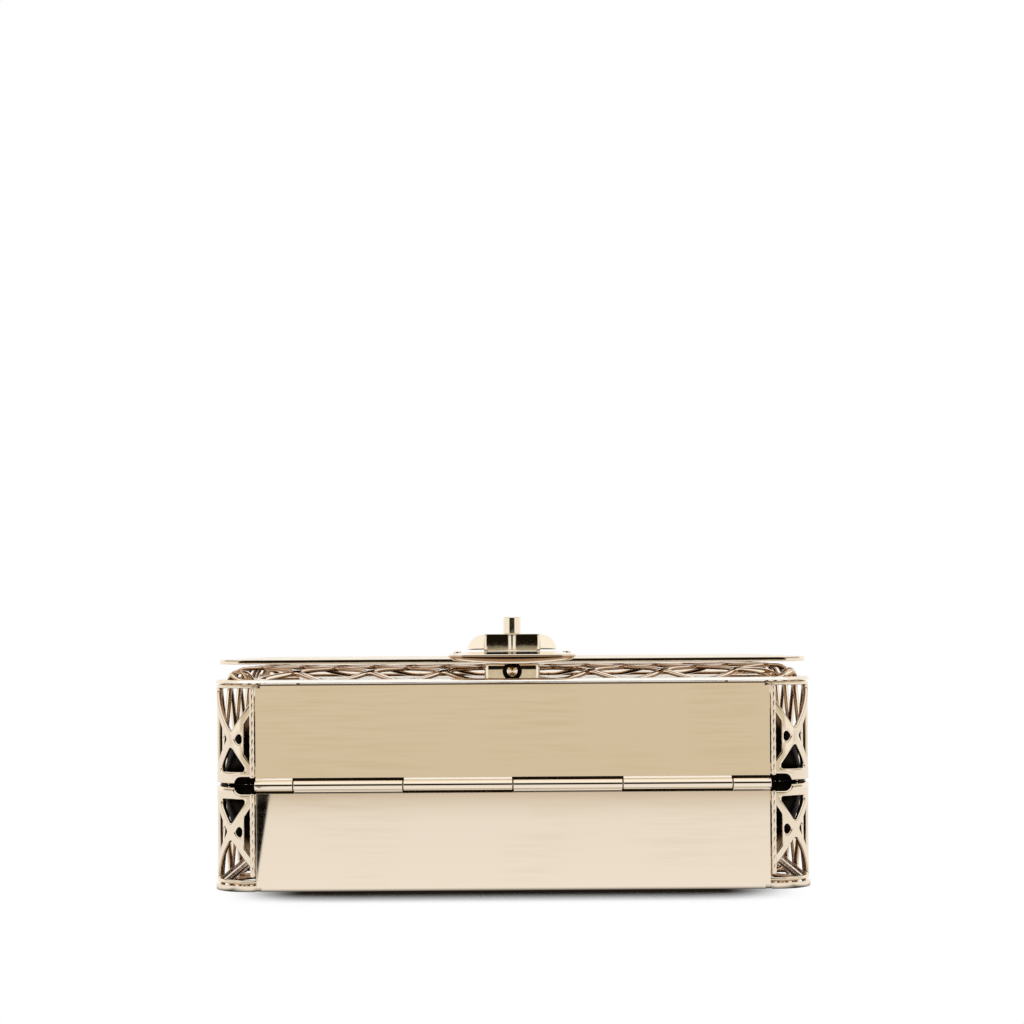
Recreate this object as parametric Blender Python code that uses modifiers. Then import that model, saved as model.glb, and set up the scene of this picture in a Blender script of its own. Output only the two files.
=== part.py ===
"""Openwork metal flap bag, lying on its back.

Two half shells of quilted openwork meet at a seam round the middle of the
sides. A knuckled hinge joins them along the bottom, and the same hinge along
the top carries a flap that covers the front and is held by a turn lock.

X is the width of the bag, -Y its bottom, +Y its top and +Z the way its front
faces. The floor is z = 0 and every length is in metres.
"""

import math

import bmesh
import bpy

# The body: its outside, and the gap that parts two pieces that are fastened.
body_width = 0.1800
body_height = 0.1150
body_depth = 0.0632
corner_radius = 0.0110
seat_gap = 0.0003
seam_gap = 0.0005

# The rims, the plates of the bottom and top, and the openwork.
rim_width = 0.0030
front_rim_height = 0.0010
rear_rim_height = 0.0018
plate_thickness = 0.0010
plate_inset = 0.0133
notch_length = 0.0032
notch_height = 0.0011
strut_width = 0.0024
strut_crown = 0.00025
opening_corner = 0.0010
panel_thickness = 0.0012
gusset_thickness = 0.0015
gusset_inset = 0.0005
gusset_tab = 0.0038
seam_band = 0.0039
rail_width = 0.0012
waist_bar_width = 0.0008

# The front panel rises like a cushion from its edge.
cushion_rise = 0.0037
cushion_side_run = 0.0080
cushion_end_run = 0.0450
quilt_shift = 0.0015

# Both hinges.
barrel_radius = 0.00155
barrel_stand_off = 0.0005
bore_radius = 0.00070
pin_clearance = 0.00020
knuckle_gap = 0.0003
leaf_thickness = 0.0010
leaf_length = 0.0100
plate_to_seam = 0.0023
pocket_length = 0.0061
pocket_half_height = 0.0024

# The stitched edge of each bottom plate.
rope_radius = 0.00075
rope_pitch = 0.0027

# The flap.
flap_clearance = 0.00065
flap_thickness = 0.0014
flap_side_inset = 0.0010
flap_edge_inset = 0.0045
flap_corner_radius = 0.0060
flap_bend_radius = 0.0030
flap_frame_width = 0.0032
flap_lower_border = 0.0021
flap_top_gap = 0.0005
flap_leaf_length = 0.0054

# The turn lock, placed from the lower edge of the flap.
lock_inset = 0.0120
slot_clearance = 0.0006
slot_corner_radius = 0.0035
escutcheon_width = 0.0386
escutcheon_border = 0.0056
escutcheon_thickness = 0.0009
escutcheon_corner_radius = 0.0100
lock_seat_inset = 0.0008
screw_radius = 0.0012
screw_height = 0.0006
lock_base_width = 0.0167
lock_base_length = 0.0199
lock_base_corner = 0.0030
stud_radius = 0.0016
stud_recess_radius = 0.0022
stud_recess_depth = 0.0016
post_radius = 0.0020
bracket_margin = 0.0026
knob_length = 0.0270
knob_block_length = 0.0173
knob_width = 0.0090
knob_lobe_width = 0.0062
knob_height = 0.0049
knob_groove_width = 0.0016
collar_height = 0.0006
peg_radius = 0.00265
peg_height = 0.0049

# Shares and counts that shape the patterns.
quilt_columns = 8
quilt_rows = 4
gusset_pitches = 5
gusset_first_share = 0.56
gusset_slope_share = 1.40
gusset_waist_share = 0.44
cushion_piece_share = 0.42
arc_piece_share = 0.42
waist_bar_share = 0.40
corner_cut_share = 0.40
rope_flat_share = 0.30
pocket_round_share = 0.98
knob_lobe_share = 0.97
knuckle_shares = (-1.0, -0.85, -0.425, 0.0, 0.425, 0.85, 1.0)

# Places that follow from the sizes above.
half_width = body_width / 2
half_height = body_height / 2
seam_z = body_depth / 2
plate_half = half_width - plate_inset
rope_x = plate_half + seat_gap + rope_radius
hinge_y = half_height + barrel_stand_off
plate_inner_y = half_height - plate_thickness
gusset_half_x = half_width - gusset_inset
gusset_half_y = plate_inner_y - seat_gap - strut_crown
panel_half_x = half_width - rim_width - seat_gap
panel_half_y = half_height - rim_width - seat_gap
panel_radius = corner_radius - rim_width - seat_gap
cushion_top = body_depth + cushion_rise + strut_crown
flap_under = cushion_top + flap_clearance
flap_top = flap_under + flap_thickness
flap_half_width = half_width - flap_side_inset
flap_edge_y = -half_height + flap_edge_inset
flap_wing_y = half_height + flap_top_gap
flap_outer_y = flap_wing_y + flap_thickness
lock_y = flap_edge_y + lock_inset
slot_half_x = knob_length / 2 + slot_clearance
slot_far_y = lock_y + knob_width / 2 + slot_clearance
slot_near_y = flap_edge_y + flap_lower_border
escutcheon_y = (slot_near_y + slot_far_y) / 2
escutcheon_half_y = (slot_far_y - slot_near_y) / 2 + escutcheon_border
escutcheon_under = flap_top + seat_gap
escutcheon_top = escutcheon_under + escutcheon_thickness
bracket_top = body_depth - front_rim_height - seat_gap
bracket_under = bracket_top - leaf_thickness
base_under = bracket_top + seat_gap
base_top = cushion_top + seat_gap
base_near_y = -panel_half_y + rail_width + seat_gap / 2
base_far_y = base_near_y + lock_base_length
collar_under = escutcheon_top + seat_gap
knob_under = collar_under + collar_height + seat_gap
knob_top = knob_under + knob_height
peg_under = knob_top + seat_gap
over = body_depth
near_zero = body_width * 1e-7


def clear_scene():
    for item in list(bpy.data.objects):
        bpy.data.objects.remove(item, do_unlink=True)


def collection(name, helper):
    made = bpy.data.collections.new(name)
    bpy.context.scene.collection.children.link(made)
    made.hide_render = helper
    return made


def material(name, colour, roughness):
    made = bpy.data.materials.new(name)
    made.use_nodes = True
    shader = made.node_tree.nodes["Principled BSDF"]
    shader.inputs["Base Color"].default_value = (*colour, 1.0)
    shader.inputs["Metallic"].default_value = 1.0
    shader.inputs["Roughness"].default_value = roughness
    return made


clear_scene()
parts = collection("flap_bag", False)
cutters = collection("flap_bag_cutters", True)
finishes = {
    "shell": material("shell_gold", (0.83, 0.70, 0.50), 0.10),
    "plate": material("plate_gold", (0.86, 0.75, 0.58), 0.16),
    "hinge": material("hinge_gold", (0.84, 0.72, 0.53), 0.10),
    "flap": material("flap_gold", (0.83, 0.69, 0.48), 0.08),
    "lock": material("lock_gold", (0.87, 0.76, 0.58), 0.06),
}


# Joint axes: a parent stands on each, so that what it carries turns about it.
def axis_empty(name, location, parent):
    made = bpy.data.objects.new(name, None)
    made.empty_display_size = corner_radius
    made.location = location
    if parent is not None:
        made.location = [a - b for a, b in zip(location, parent.location)]
        made.parent = parent
    parts.objects.link(made)
    return made


front_axis = axis_empty("front_axis", (0, -hinge_y, seam_z), None)
flap_axis = axis_empty("flap_axis", (0, hinge_y, seam_z), None)
knob_axis = axis_empty("knob_axis", (0, lock_y, base_top), front_axis)
axis_places = {
    "front_axis": (0, -hinge_y, seam_z),
    "flap_axis": (0, hinge_y, seam_z),
    "knob_axis": (0, lock_y, base_top),
}


def finished(name, mesh, finish, parent=None):
    """Links a mesh that is drawn in place, its origin moved to its own middle
    or, on a moving piece, to the axis that it turns about."""
    made = bpy.data.objects.new(name, mesh)
    mesh.materials.append(finishes[finish])
    if parent is None:
        xs, ys, zs = zip(*(vertex.co for vertex in mesh.vertices))
        origin = [(min(axis) + max(axis)) / 2 for axis in (xs, ys, zs)]
        made.location = origin
    else:
        origin = axis_places[parent.name]
        made.parent = parent
    for vertex in mesh.vertices:
        vertex.co = [a - b for a, b in zip(vertex.co, origin)]
    parts.objects.link(made)
    return made


def cutter(name, mesh):
    made = bpy.data.objects.new(name, mesh)
    made.display_type = "WIRE"
    made.hide_render = True
    cutters.objects.link(made)
    return made


def combine(target, operand, operation):
    step = target.modifiers.new(operand.name, "BOOLEAN")
    step.operation = operation
    step.solver = "EXACT"
    step.object = operand


def soften(target, width, segments=1):
    step = target.modifiers.new("softened_edges", "BEVEL")
    step.width = width
    step.segments = segments
    step.limit_method = "ANGLE"
    step.angle_limit = math.radians(50)


def arc(centre, radius, start_deg, end_deg, steps):
    found = []
    for step in range(steps + 1):
        angle = math.radians(start_deg + (end_deg - start_deg) * step / steps)
        found.append((centre[0] + radius * math.cos(angle), centre[1] + radius * math.sin(angle)))
    return found


def rounded(left, right, low, high, radius, steps=5):
    """A rectangle with rounded corners, anticlockwise from its lower right."""
    points = arc((right - radius, low + radius), radius, -90, 0, steps)
    points += arc((right - radius, high - radius), radius, 0, 90, steps)
    points += arc((left + radius, high - radius), radius, 90, 180, steps)
    points += arc((left + radius, low + radius), radius, 180, 270, steps)
    return points


def rectangle(left, right, low, high):
    return [(left, low), (right, low), (right, high), (left, high)]


def prism(name, outline, low, high, facing="Z"):
    """An outline pushed from low to high along X, Y or Z."""
    turn = {
        "X": lambda a, b, h: (h, a, b),
        "Y": lambda a, b, h: (a, h, b),
        "Z": lambda a, b, h: (a, b, h),
    }[facing]
    shape = bmesh.new()
    base = shape.faces.new([shape.verts.new(turn(a, b, low)) for a, b in outline])
    pushed = bmesh.ops.extrude_face_region(shape, geom=[base])
    moved = [item for item in pushed["geom"] if isinstance(item, bmesh.types.BMVert)]
    bmesh.ops.translate(shape, verts=moved, vec=turn(0, 0, high - low))
    bmesh.ops.recalc_face_normals(shape, faces=shape.faces)
    mesh = bpy.data.meshes.new(name)
    shape.to_mesh(mesh)
    shape.free()
    return mesh


def mirrored_x(mesh, name):
    made = mesh.copy()
    made.name = name
    for vertex in made.vertices:
        vertex.co.x = -vertex.co.x
    made.flip_normals()
    return made


# The openwork. Each cell of a diamond pattern is cut to a convex region, and
# its opening is what is left once every side has given up its strut.
def kept_side(polygon, point, inward):
    found = []
    for start, end in zip(polygon, polygon[1:] + polygon[:1]):
        a = (start[0] - point[0]) * inward[0] + (start[1] - point[1]) * inward[1]
        b = (end[0] - point[0]) * inward[0] + (end[1] - point[1]) * inward[1]
        if a >= -near_zero:
            found.append(start)
        if (a > near_zero and b < -near_zero) or (a < -near_zero and b > near_zero):
            share = a / (a - b)
            found.append(tuple(p + (q - p) * share for p, q in zip(start, end)))
    return found


def inward_of(start, end):
    along = (end[0] - start[0], end[1] - start[1])
    length = math.hypot(*along)
    return (-along[1] / length, along[0] / length)


def area_of(polygon):
    total = 0
    for start, end in zip(polygon, polygon[1:] + polygon[:1]):
        total += start[0] * end[1] - end[0] * start[1]
    return total / 2


def without_doubles(polygon):
    return [
        point
        for point, before in zip(polygon, polygon[-1:] + polygon[:-1])
        if math.dist(point, before) > 10 * near_zero
    ]


def cell_of(centre, pitch, region, frame):
    """The sides of one diamond inside the region, each with its half strut."""
    diamond = [
        (centre[0] - pitch[0] / 2, centre[1]),
        (centre[0], centre[1] - pitch[1] / 2),
        (centre[0] + pitch[0] / 2, centre[1]),
        (centre[0], centre[1] + pitch[1] / 2),
    ]
    for start, end in zip(region, region[1:] + region[:1]):
        diamond = kept_side(diamond, start, inward_of(start, end))
        if len(diamond) < 3:
            return [], []
    cell = without_doubles(diamond)
    if len(cell) < 3 or area_of(cell) < strut_crown * strut_crown:
        return [], []
    return cell, [border_width(side, region, frame) for side in zip(cell, cell[1:] + cell[:1])]


def on_line(point, start, end):
    normal = inward_of(start, end)
    away = (point[0] - start[0]) * normal[0] + (point[1] - start[1]) * normal[1]
    return abs(away) < 20 * near_zero


def border_width(side, region, frame):
    edges = zip(region, region[1:] + region[:1])
    for index, (start, end) in enumerate(edges):
        if on_line(side[0], start, end) and on_line(side[1], start, end):
            return frame[index % len(frame)]
    return strut_width / 2


def split_at(cell, widths, place, bar):
    """Two cells from one, parted by a bar along the second direction."""
    found = []
    for inward in ((1, 0), (-1, 0)):
        piece = without_doubles(kept_side(cell, (place, 0), inward))
        sides = list(zip(piece, piece[1:] + piece[:1]))
        old = list(zip(cell, cell[1:] + cell[:1], widths))
        made = []
        for side in sides:
            if all(abs(point[0] - place) < 20 * near_zero for point in side):
                made.append(bar / 2)
                continue
            match = [w for a, b, w in old if on_line(side[0], a, b) and on_line(side[1], a, b)]
            made.append(match[0])
        found.append((piece, made))
    return found


def opening_of(cell, widths):
    opening = list(cell)
    for start, end, width in zip(cell, cell[1:] + cell[:1], widths):
        inward = inward_of(start, end)
        point = (start[0] + inward[0] * width, start[1] + inward[1] * width)
        opening = kept_side(opening, point, inward)
        if len(opening) < 3:
            return []
    opening = without_doubles(opening)
    if len(opening) < 3 or area_of(opening) < strut_width * strut_width / 2:
        return []
    return opening


def with_round_corners(polygon, cut, steps):
    if not steps:
        return polygon
    found = []
    count = len(polygon)
    for index, corner in enumerate(polygon):
        before = polygon[index - 1]
        after = polygon[(index + 1) % count]
        reach_in = min(cut, corner_cut_share * math.dist(before, corner))
        reach_out = min(cut, corner_cut_share * math.dist(after, corner))
        first = toward(corner, before, reach_in)
        last = toward(corner, after, reach_out)
        for step in range(steps + 1):
            t = step / steps
            found.append(
                tuple(
                    (1 - t) ** 2 * a + 2 * t * (1 - t) * b + t * t * c
                    for a, b, c in zip(first, corner, last)
                )
            )
    return found


def toward(start, end, reach):
    share = reach / math.dist(start, end)
    return tuple(a + (b - a) * share for a, b in zip(start, end))


def divided(polygon, pieces):
    found = []
    for start, end in zip(polygon, polygon[1:] + polygon[:1]):
        count = pieces(start, end)
        for step in range(count):
            found.append(tuple(a + (b - a) * step / count for a, b in zip(start, end)))
    return found


def whole(start, end):
    return 1


def marked(polygon, bars, row, reach):
    """The polygon with a point wherever a waist bar meets one of its sides."""
    found = []
    for start, end in zip(polygon, polygon[1:] + polygon[:1]):
        found.append(start)
        for bar in bars:
            a = start[0] - bar
            b = end[0] - bar
            if min(abs(a), abs(b)) < 20 * near_zero or a * b > 0:
                continue
            share = a / (a - b)
            height = start[1] + (end[1] - start[1]) * share
            if abs(height - row) < reach:
                found.append((bar, height))
    return found


def ring_faces(outer, inner):
    """Triangles between two loops that both go round the inner one's middle."""
    middle = [sum(values) / len(inner) for values in zip(*inner)]

    def turned(loop):
        angles = [math.atan2(p[1] - middle[1], p[0] - middle[0]) for p in loop]
        start = angles.index(min(angles))
        order = list(range(start, len(loop))) + list(range(start))
        return order, [angles[i] for i in order] + [angles[start] + 2 * math.pi]

    outer_order, outer_angles = turned(outer)
    inner_order, inner_angles = turned(inner)
    faces = []
    i = j = 0
    while i < len(outer) or j < len(inner):
        a = outer_order[i % len(outer)]
        b = inner_order[j % len(inner)]
        take_outer = j == len(inner) or (i < len(outer) and outer_angles[i + 1] <= inner_angles[j + 1])
        if take_outer:
            i += 1
            faces.append((("o", a), ("o", outer_order[i % len(outer)]), ("i", b)))
        else:
            j += 1
            faces.append((("o", a), ("i", inner_order[j % len(inner)]), ("i", b)))
    return faces


def openwork(name, region, frame, pitch, centre, place, thickness, pieces, corner_steps, bars=()):
    """A sheet of struts over a convex region, put in space by place(u, v, lift)."""
    lows = [min(values) for values in zip(*region)]
    highs = [max(values) for values in zip(*region)]
    cells = []
    first = [math.floor((low - c) / p) - 1 for low, c, p in zip(lows, centre, pitch)]
    last = [math.ceil((high - c) / p) + 1 for high, c, p in zip(highs, centre, pitch)]
    for i in range(first[0], last[0] + 1):
        for j in range(first[1], last[1] + 1):
            for half in (0, 0.5):
                middle = (centre[0] + (i + half) * pitch[0], centre[1] + (j + half) * pitch[1])
                cell, widths = cell_of(middle, pitch, region, frame)
                if not cell:
                    continue
                us = [point[0] for point in cell]
                hit = [bar for bar in bars if min(us) + strut_width / 2 < bar < max(us) - strut_width]
                waist = abs(middle[1] - bar_row(bars, centre, pitch)) < pitch[1] / 8
                if hit and waist:
                    cells += split_at(cell, widths, hit[0], waist_bar_width)
                else:
                    cells.append((cell, widths))
    points = []
    places = {}

    def point_at(point, lifted):
        key = tuple(round(value / near_zero / 50) for value in point)
        if key not in places:
            places[key] = len(points)
            edges = zip(region, region[1:] + region[:1])
            at_edge = any(on_line(point, start, end) for start, end in edges)
            points.append((point[0], point[1], strut_crown if lifted and not at_edge else 0))
        return places[key]

    faces = []
    for cell, widths in cells:
        outer = divided(marked(cell, bars, centre[1], pitch[1] / 2), pieces)
        opening = opening_of(cell, widths)
        outer_points = [point_at(point, True) for point in outer]
        if not opening:
            middle = tuple(sum(values) / len(outer) for values in zip(*outer))
            centre_point = point_at(middle, True)
            for a, b in zip(outer_points, outer_points[1:] + outer_points[:1]):
                faces.append((a, b, centre_point))
            continue
        inner = divided(with_round_corners(opening, opening_corner, corner_steps), pieces)
        loops = {"o": outer_points, "i": [point_at(point, False) for point in inner]}
        for face in ring_faces(outer, inner):
            faces.append(tuple(loops[loop][index] for loop, index in face))
    return walled(name, points, faces, place, thickness)


def walled(name, points, faces, place, thickness):
    """The sheet with its back, and a wall round every opening and its edge."""
    count = len(points)
    solid = [place(u, v, lift) for u, v, lift in points]
    solid += [place(u, v, -thickness) for u, v, lift in points]
    faces = [face for face in faces if len(set(face)) == 3]
    shell = list(faces)
    sides = set()
    for face in faces:
        shell.append(tuple(index + count for index in reversed(face)))
        for a, b in zip(face, face[1:] + face[:1]):
            sides.add((a, b))
    for a, b in sorted(sides):
        if (b, a) not in sides:
            shell.append((b, a, a + count, b + count))
    mesh = bpy.data.meshes.new(name)
    mesh.from_pydata(solid, [], shell)
    return mesh


def bar_row(bars, centre, pitch):
    return centre[1] if bars else centre[1] + pitch[1]


# Rims: the flat ring that frames each face.
def rim(name, low, high, parent):
    outline = rounded(-half_width, half_width, -half_height, half_height, corner_radius, 8)
    inside = rounded(
        -half_width + rim_width,
        half_width - rim_width,
        -half_height + rim_width,
        half_height - rim_width,
        corner_radius - rim_width,
        8,
    )
    made = finished(name, prism(name, outline, low, high), "shell", parent)
    hollow = prism(name + "_inside", inside, low - over, high + over)
    combine(made, cutter(name + "_inside", hollow), "DIFFERENCE")
    return made


rear_rim = rim("rear_rim", 0, rear_rim_height, None)
seat_outline = rectangle(
    -plate_half - seat_gap,
    plate_half + seat_gap,
    -half_height - rim_width,
    -plate_inner_y + seat_gap,
)
rim_seat = prism("rear_rim_seat", seat_outline, -over, over)
combine(rear_rim, cutter("rear_rim_seat", rim_seat), "DIFFERENCE")
front_rim = rim("front_rim", body_depth - front_rim_height, body_depth, front_axis)
for frame_ring in (rear_rim, front_rim):
    soften(frame_ring, front_rim_height / 6)


# Panels: the quilted faces of the two shells.
panel_region = rounded(-panel_half_x, panel_half_x, -panel_half_y, panel_half_y, panel_radius, 3)
panel_pitch = (body_width / quilt_columns, 2 * panel_half_y / quilt_rows)


def eased(distance, run):
    return 1 - (1 - min(max(distance / run, 0), 1)) ** 2


def cushion(u, v, lift):
    side = eased(panel_half_x - abs(u), cushion_side_run)
    end = eased(panel_half_y - abs(v), cushion_end_run)
    return (u, v, body_depth + cushion_rise * side * end + lift)


def cushion_pieces(start, end):
    return max(1, round(math.dist(start, end) / (panel_pitch[0] * cushion_piece_share)))


front_panel = finished(
    "front_panel",
    openwork(
        "front_panel",
        panel_region,
        [rail_width],
        panel_pitch,
        (quilt_shift, -panel_half_y),
        cushion,
        panel_thickness,
        cushion_pieces,
        1,
    ),
    "shell",
    front_axis,
)
window = rounded(
    -lock_base_width / 2 - seat_gap,
    lock_base_width / 2 + seat_gap,
    base_near_y - seat_gap,
    base_far_y + seat_gap,
    lock_base_corner + seat_gap,
    4,
)
window_tool = prism("lock_window", window, bracket_under, flap_top)
combine(front_panel, cutter("lock_window", window_tool), "DIFFERENCE")

rear_panel_level = seat_gap + strut_crown


def rear_face(u, v, lift):
    return (-u, v, rear_panel_level - lift)


rear_panel = finished(
    "rear_panel",
    openwork(
        "rear_panel",
        panel_region,
        [rail_width],
        panel_pitch,
        (-quilt_shift, -panel_half_y),
        rear_face,
        panel_thickness,
        whole,
        0,
    ),
    "shell",
)


# Gussets: the openwork strip from the bottom plate round one side to the top.
gusset_radius = corner_radius - gusset_inset
gusset_flat_x = gusset_half_x - gusset_radius
gusset_arc = math.pi / 2 * gusset_radius
gusset_side = 2 * (gusset_half_y - gusset_radius)
gusset_length = 2 * gusset_arc + gusset_side
gusset_first = gusset_first_share * gusset_radius
gusset_pitch_u = (gusset_length - 2 * gusset_first) / gusset_pitches
gusset_pitch_v = gusset_pitch_u * gusset_slope_share
gusset_high = seam_z - front_rim_height - seat_gap
rear_gusset_high = seam_z - rear_rim_height - seat_gap
gusset_crossing = gusset_waist_share * seam_z


def along_gusset(distance):
    """The point of the strip's path and the way out of it there."""
    if distance < 0:
        return (gusset_flat_x + distance, -gusset_half_y), (0, -1)
    if distance < gusset_arc:
        angle = -math.pi / 2 + distance / gusset_radius
        middle = (gusset_flat_x, -gusset_half_y + gusset_radius)
    elif distance < gusset_arc + gusset_side:
        rise = distance - gusset_arc
        return (gusset_half_x, -gusset_half_y + gusset_radius + rise), (1, 0)
    elif distance < gusset_length:
        angle = (distance - gusset_arc - gusset_side) / gusset_radius
        middle = (gusset_flat_x, gusset_half_y - gusset_radius)
    else:
        return (gusset_flat_x - distance + gusset_length, gusset_half_y), (0, 1)
    out = (math.cos(angle), math.sin(angle))
    return (middle[0] + gusset_radius * out[0], middle[1] + gusset_radius * out[1]), out


def gusset_pieces(start, end):
    """More pieces for a side that goes round a corner of the bag."""
    low = min(start[0], end[0])
    high = max(start[0], end[0])
    turning = 0
    for first in (0, gusset_length - gusset_arc):
        turning = max(turning, min(high, first + gusset_arc) - max(low, first))
    if turning < near_zero:
        return 1
    return max(1, math.ceil((high - low) / (gusset_radius * arc_piece_share)))


def gusset_mesh(name, high, side):
    """side is 1 for the front shell and -1 for the rear one."""
    region = rectangle(-gusset_tab, gusset_length + gusset_tab, seam_gap / 2, high)

    def place(u, v, lift):
        point, out = along_gusset(u)
        return (point[0] + out[0] * lift, point[1] + out[1] * lift, seam_z + side * v)

    bar = gusset_first - gusset_radius * waist_bar_share
    bars = (bar, gusset_length - bar)
    mesh = openwork(
        name,
        region,
        [seam_band, rail_width, rail_width, rail_width],
        (gusset_pitch_u, gusset_pitch_v),
        (gusset_first + gusset_pitch_u / 2, gusset_crossing),
        place,
        gusset_thickness,
        gusset_pieces,
        1,
        bars,
    )
    if side < 0:
        mesh.flip_normals()
    return mesh


pocket_outline = rounded(
    plate_half - gusset_tab - pocket_length,
    plate_half + rope_radius + pocket_length,
    seam_z - pocket_half_height,
    seam_z + pocket_half_height,
    pocket_half_height * pocket_round_share,
    5,
)
pocket_mesh = prism("hinge_pocket", pocket_outline, -body_height, body_height, "Y")
pocket_right = cutter("hinge_pocket_right", pocket_mesh)
pocket_left = cutter("hinge_pocket_left", mirrored_x(pocket_mesh, "hinge_pocket_left"))
for shell, high, side, parent in (
    ("front", gusset_high, 1, front_axis),
    ("rear", rear_gusset_high, -1, None),
):
    right_mesh = gusset_mesh(shell + "_gusset_right", high, side)
    left_mesh = mirrored_x(right_mesh, shell + "_gusset_left")
    for name, mesh, pocket in (
        (shell + "_gusset_right", right_mesh, pocket_right),
        (shell + "_gusset_left", left_mesh, pocket_left),
    ):
        strip = finished(name, mesh, "shell", parent)
        combine(strip, pocket, "DIFFERENCE")


# Plates: the solid bottom and top of each shell, notched beside the rim.
def plate_outline(low, high, notch_at_high):
    low_step = 0 if notch_at_high else notch_height
    high_step = notch_height if notch_at_high else 0
    inner = plate_half - notch_length
    return [
        (-inner, low),
        (inner, low),
        (inner, low + low_step),
        (plate_half, low + low_step),
        (plate_half, high - high_step),
        (inner, high - high_step),
        (inner, high),
        (-inner, high),
        (-inner, high - high_step),
        (-plate_half, high - high_step),
        (-plate_half, low + low_step),
        (-inner, low + low_step),
    ]


def tidy_outline(points):
    return [
        point
        for point, before in zip(points, points[-1:] + points[:-1])
        if math.dist(point, before) > near_zero
    ]


front_plate_low = seam_z + plate_to_seam
front_plate_high = body_depth - front_rim_height - seat_gap
rear_plate_low = rear_rim_height + seat_gap
rear_plate_high = seam_z - plate_to_seam
front_outline = tidy_outline(plate_outline(front_plate_low, front_plate_high, True))
rear_low_outline = tidy_outline(plate_outline(seat_gap, rear_plate_high, False))
rear_outline = rectangle(-plate_half, plate_half, rear_plate_low, rear_plate_high)
for name, outline, near, far, parent in (
    ("front_bottom_plate", front_outline, -half_height, -plate_inner_y, front_axis),
    ("rear_bottom_plate", rear_low_outline, -half_height, -plate_inner_y, None),
    ("front_top_plate", front_outline, plate_inner_y, half_height, front_axis),
    ("rear_top_plate", rear_outline, plate_inner_y, half_height, None),
):
    plate = finished(name, prism(name, outline, near, far, "Y"), "plate", parent)
    soften(plate, plate_thickness / 8)


# Ropes: the twisted bead along each end of the bottom plates.
def rope(name, x, low, high, parent):
    turns = max(1, round((high - low) / rope_pitch)) / 2
    rings = round(turns * 8)
    section = []
    for step in range(8):
        angle = 2 * math.pi * step / 8
        reach = rope_radius * (1 - rope_flat_share * math.sin(angle) ** 2)
        section.append((reach * math.cos(angle), reach * math.sin(angle)))
    shape = bmesh.new()
    last = shape.faces.new([shape.verts.new((a, b, 0)) for a, b in section])
    for _ in range(rings):
        pushed = bmesh.ops.extrude_face_region(shape, geom=[last])
        moved = [item for item in pushed["geom"] if isinstance(item, bmesh.types.BMVert)]
        bmesh.ops.translate(shape, verts=moved, vec=(0, 0, (high - low) / rings))
        old = last
        last = [item for item in pushed["geom"] if isinstance(item, bmesh.types.BMFace)][0]
        if old.is_valid and old.calc_center_median().z > near_zero:
            bmesh.ops.delete(shape, geom=[old], context="FACES_ONLY")
    bmesh.ops.recalc_face_normals(shape, faces=shape.faces)
    mesh = bpy.data.meshes.new(name)
    shape.to_mesh(mesh)
    shape.free()
    made = bpy.data.objects.new(name, mesh)
    mesh.materials.append(finishes["shell"])
    made.location = (x, rope_y, low)
    if parent is not None:
        made.parent = parent
        made.location = [a - b for a, b in zip(made.location, axis_places[parent.name])]
    twist = made.modifiers.new("twist", "SIMPLE_DEFORM")
    twist.deform_method = "TWIST"
    twist.deform_axis = "Z"
    twist.angle = 2 * math.pi * turns
    parts.objects.link(made)
    return made


rope_y = -plate_inner_y - rope_radius - seat_gap / 2
for side_name, x in (("left", -rope_x), ("right", rope_x)):
    rope("front_rope_" + side_name, x, front_plate_low, front_plate_high - notch_height, front_axis)
    rope("rear_rope_" + side_name, x, rear_plate_low + 2 * notch_height, rear_plate_high, None)


# Hinges: a rolled knuckle on a flange, repeated along a leaf, and a pin.
knuckle_reach = plate_half + seat_gap


def knuckle_span(index):
    start = knuckle_shares[index] * knuckle_reach + knuckle_gap / 2
    end = knuckle_shares[index + 1] * knuckle_reach - knuckle_gap / 2
    return start, end


def inside_profile():
    """Barrel and flange of a leaf that lies behind its plate. u runs into the
    bag from the axis, v away from the seam."""
    depth = barrel_stand_off + plate_thickness + seat_gap + leaf_thickness
    low = bore_radius + knuckle_gap / 3
    high = plate_to_seam - seat_gap
    flush = barrel_stand_off
    start = math.degrees(math.asin(low / barrel_radius))
    end = math.degrees(math.acos(flush / barrel_radius)) - 360
    points = arc((0, 0), barrel_radius, start, end, 14)
    return [(depth, low)] + points + [(flush, high), (depth, high)]


def outside_profile():
    """Barrel and flange of the flap's leaf, outside the top plate."""
    inner = hinge_y - flap_wing_y
    outer = hinge_y - flap_outer_y
    start = math.degrees(math.acos(inner / barrel_radius))
    end = math.degrees(math.acos(outer / barrel_radius)) - 360
    points = arc((0, 0), barrel_radius, start, end, 14)
    reach = plate_to_seam
    return points + [(outer, reach), (inner, reach)]


def hinge_leaf(name, indices, profile, leaf, inward, side, axis_y, parent):
    """leaf is the rectangle u0, u1, v0, v1 that carries the knuckles."""

    def world(points):
        return [(axis_y + inward * u, seam_z + side * v) for u, v in points]

    reach = knuckle_reach - gusset_tab - seat_gap
    base = rectangle(leaf[0], leaf[1], leaf[2], leaf[3])
    made = finished(name, prism(name, world(base), -reach, reach, "X"), "hinge", parent)
    for index in indices:
        start, end = knuckle_span(index)
        label = name + "_knuckle_" + str(index + 1)
        operand = prism(label, world(profile), start, end, "X")
        combine(made, cutter(label, operand), "UNION")
    bore = arc((axis_y, seam_z), bore_radius, 0, 337.5, 15)
    tool = prism(name + "_bore", bore, -body_width, body_width, "X")
    combine(made, cutter(name + "_bore", tool), "DIFFERENCE")
    return made


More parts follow.
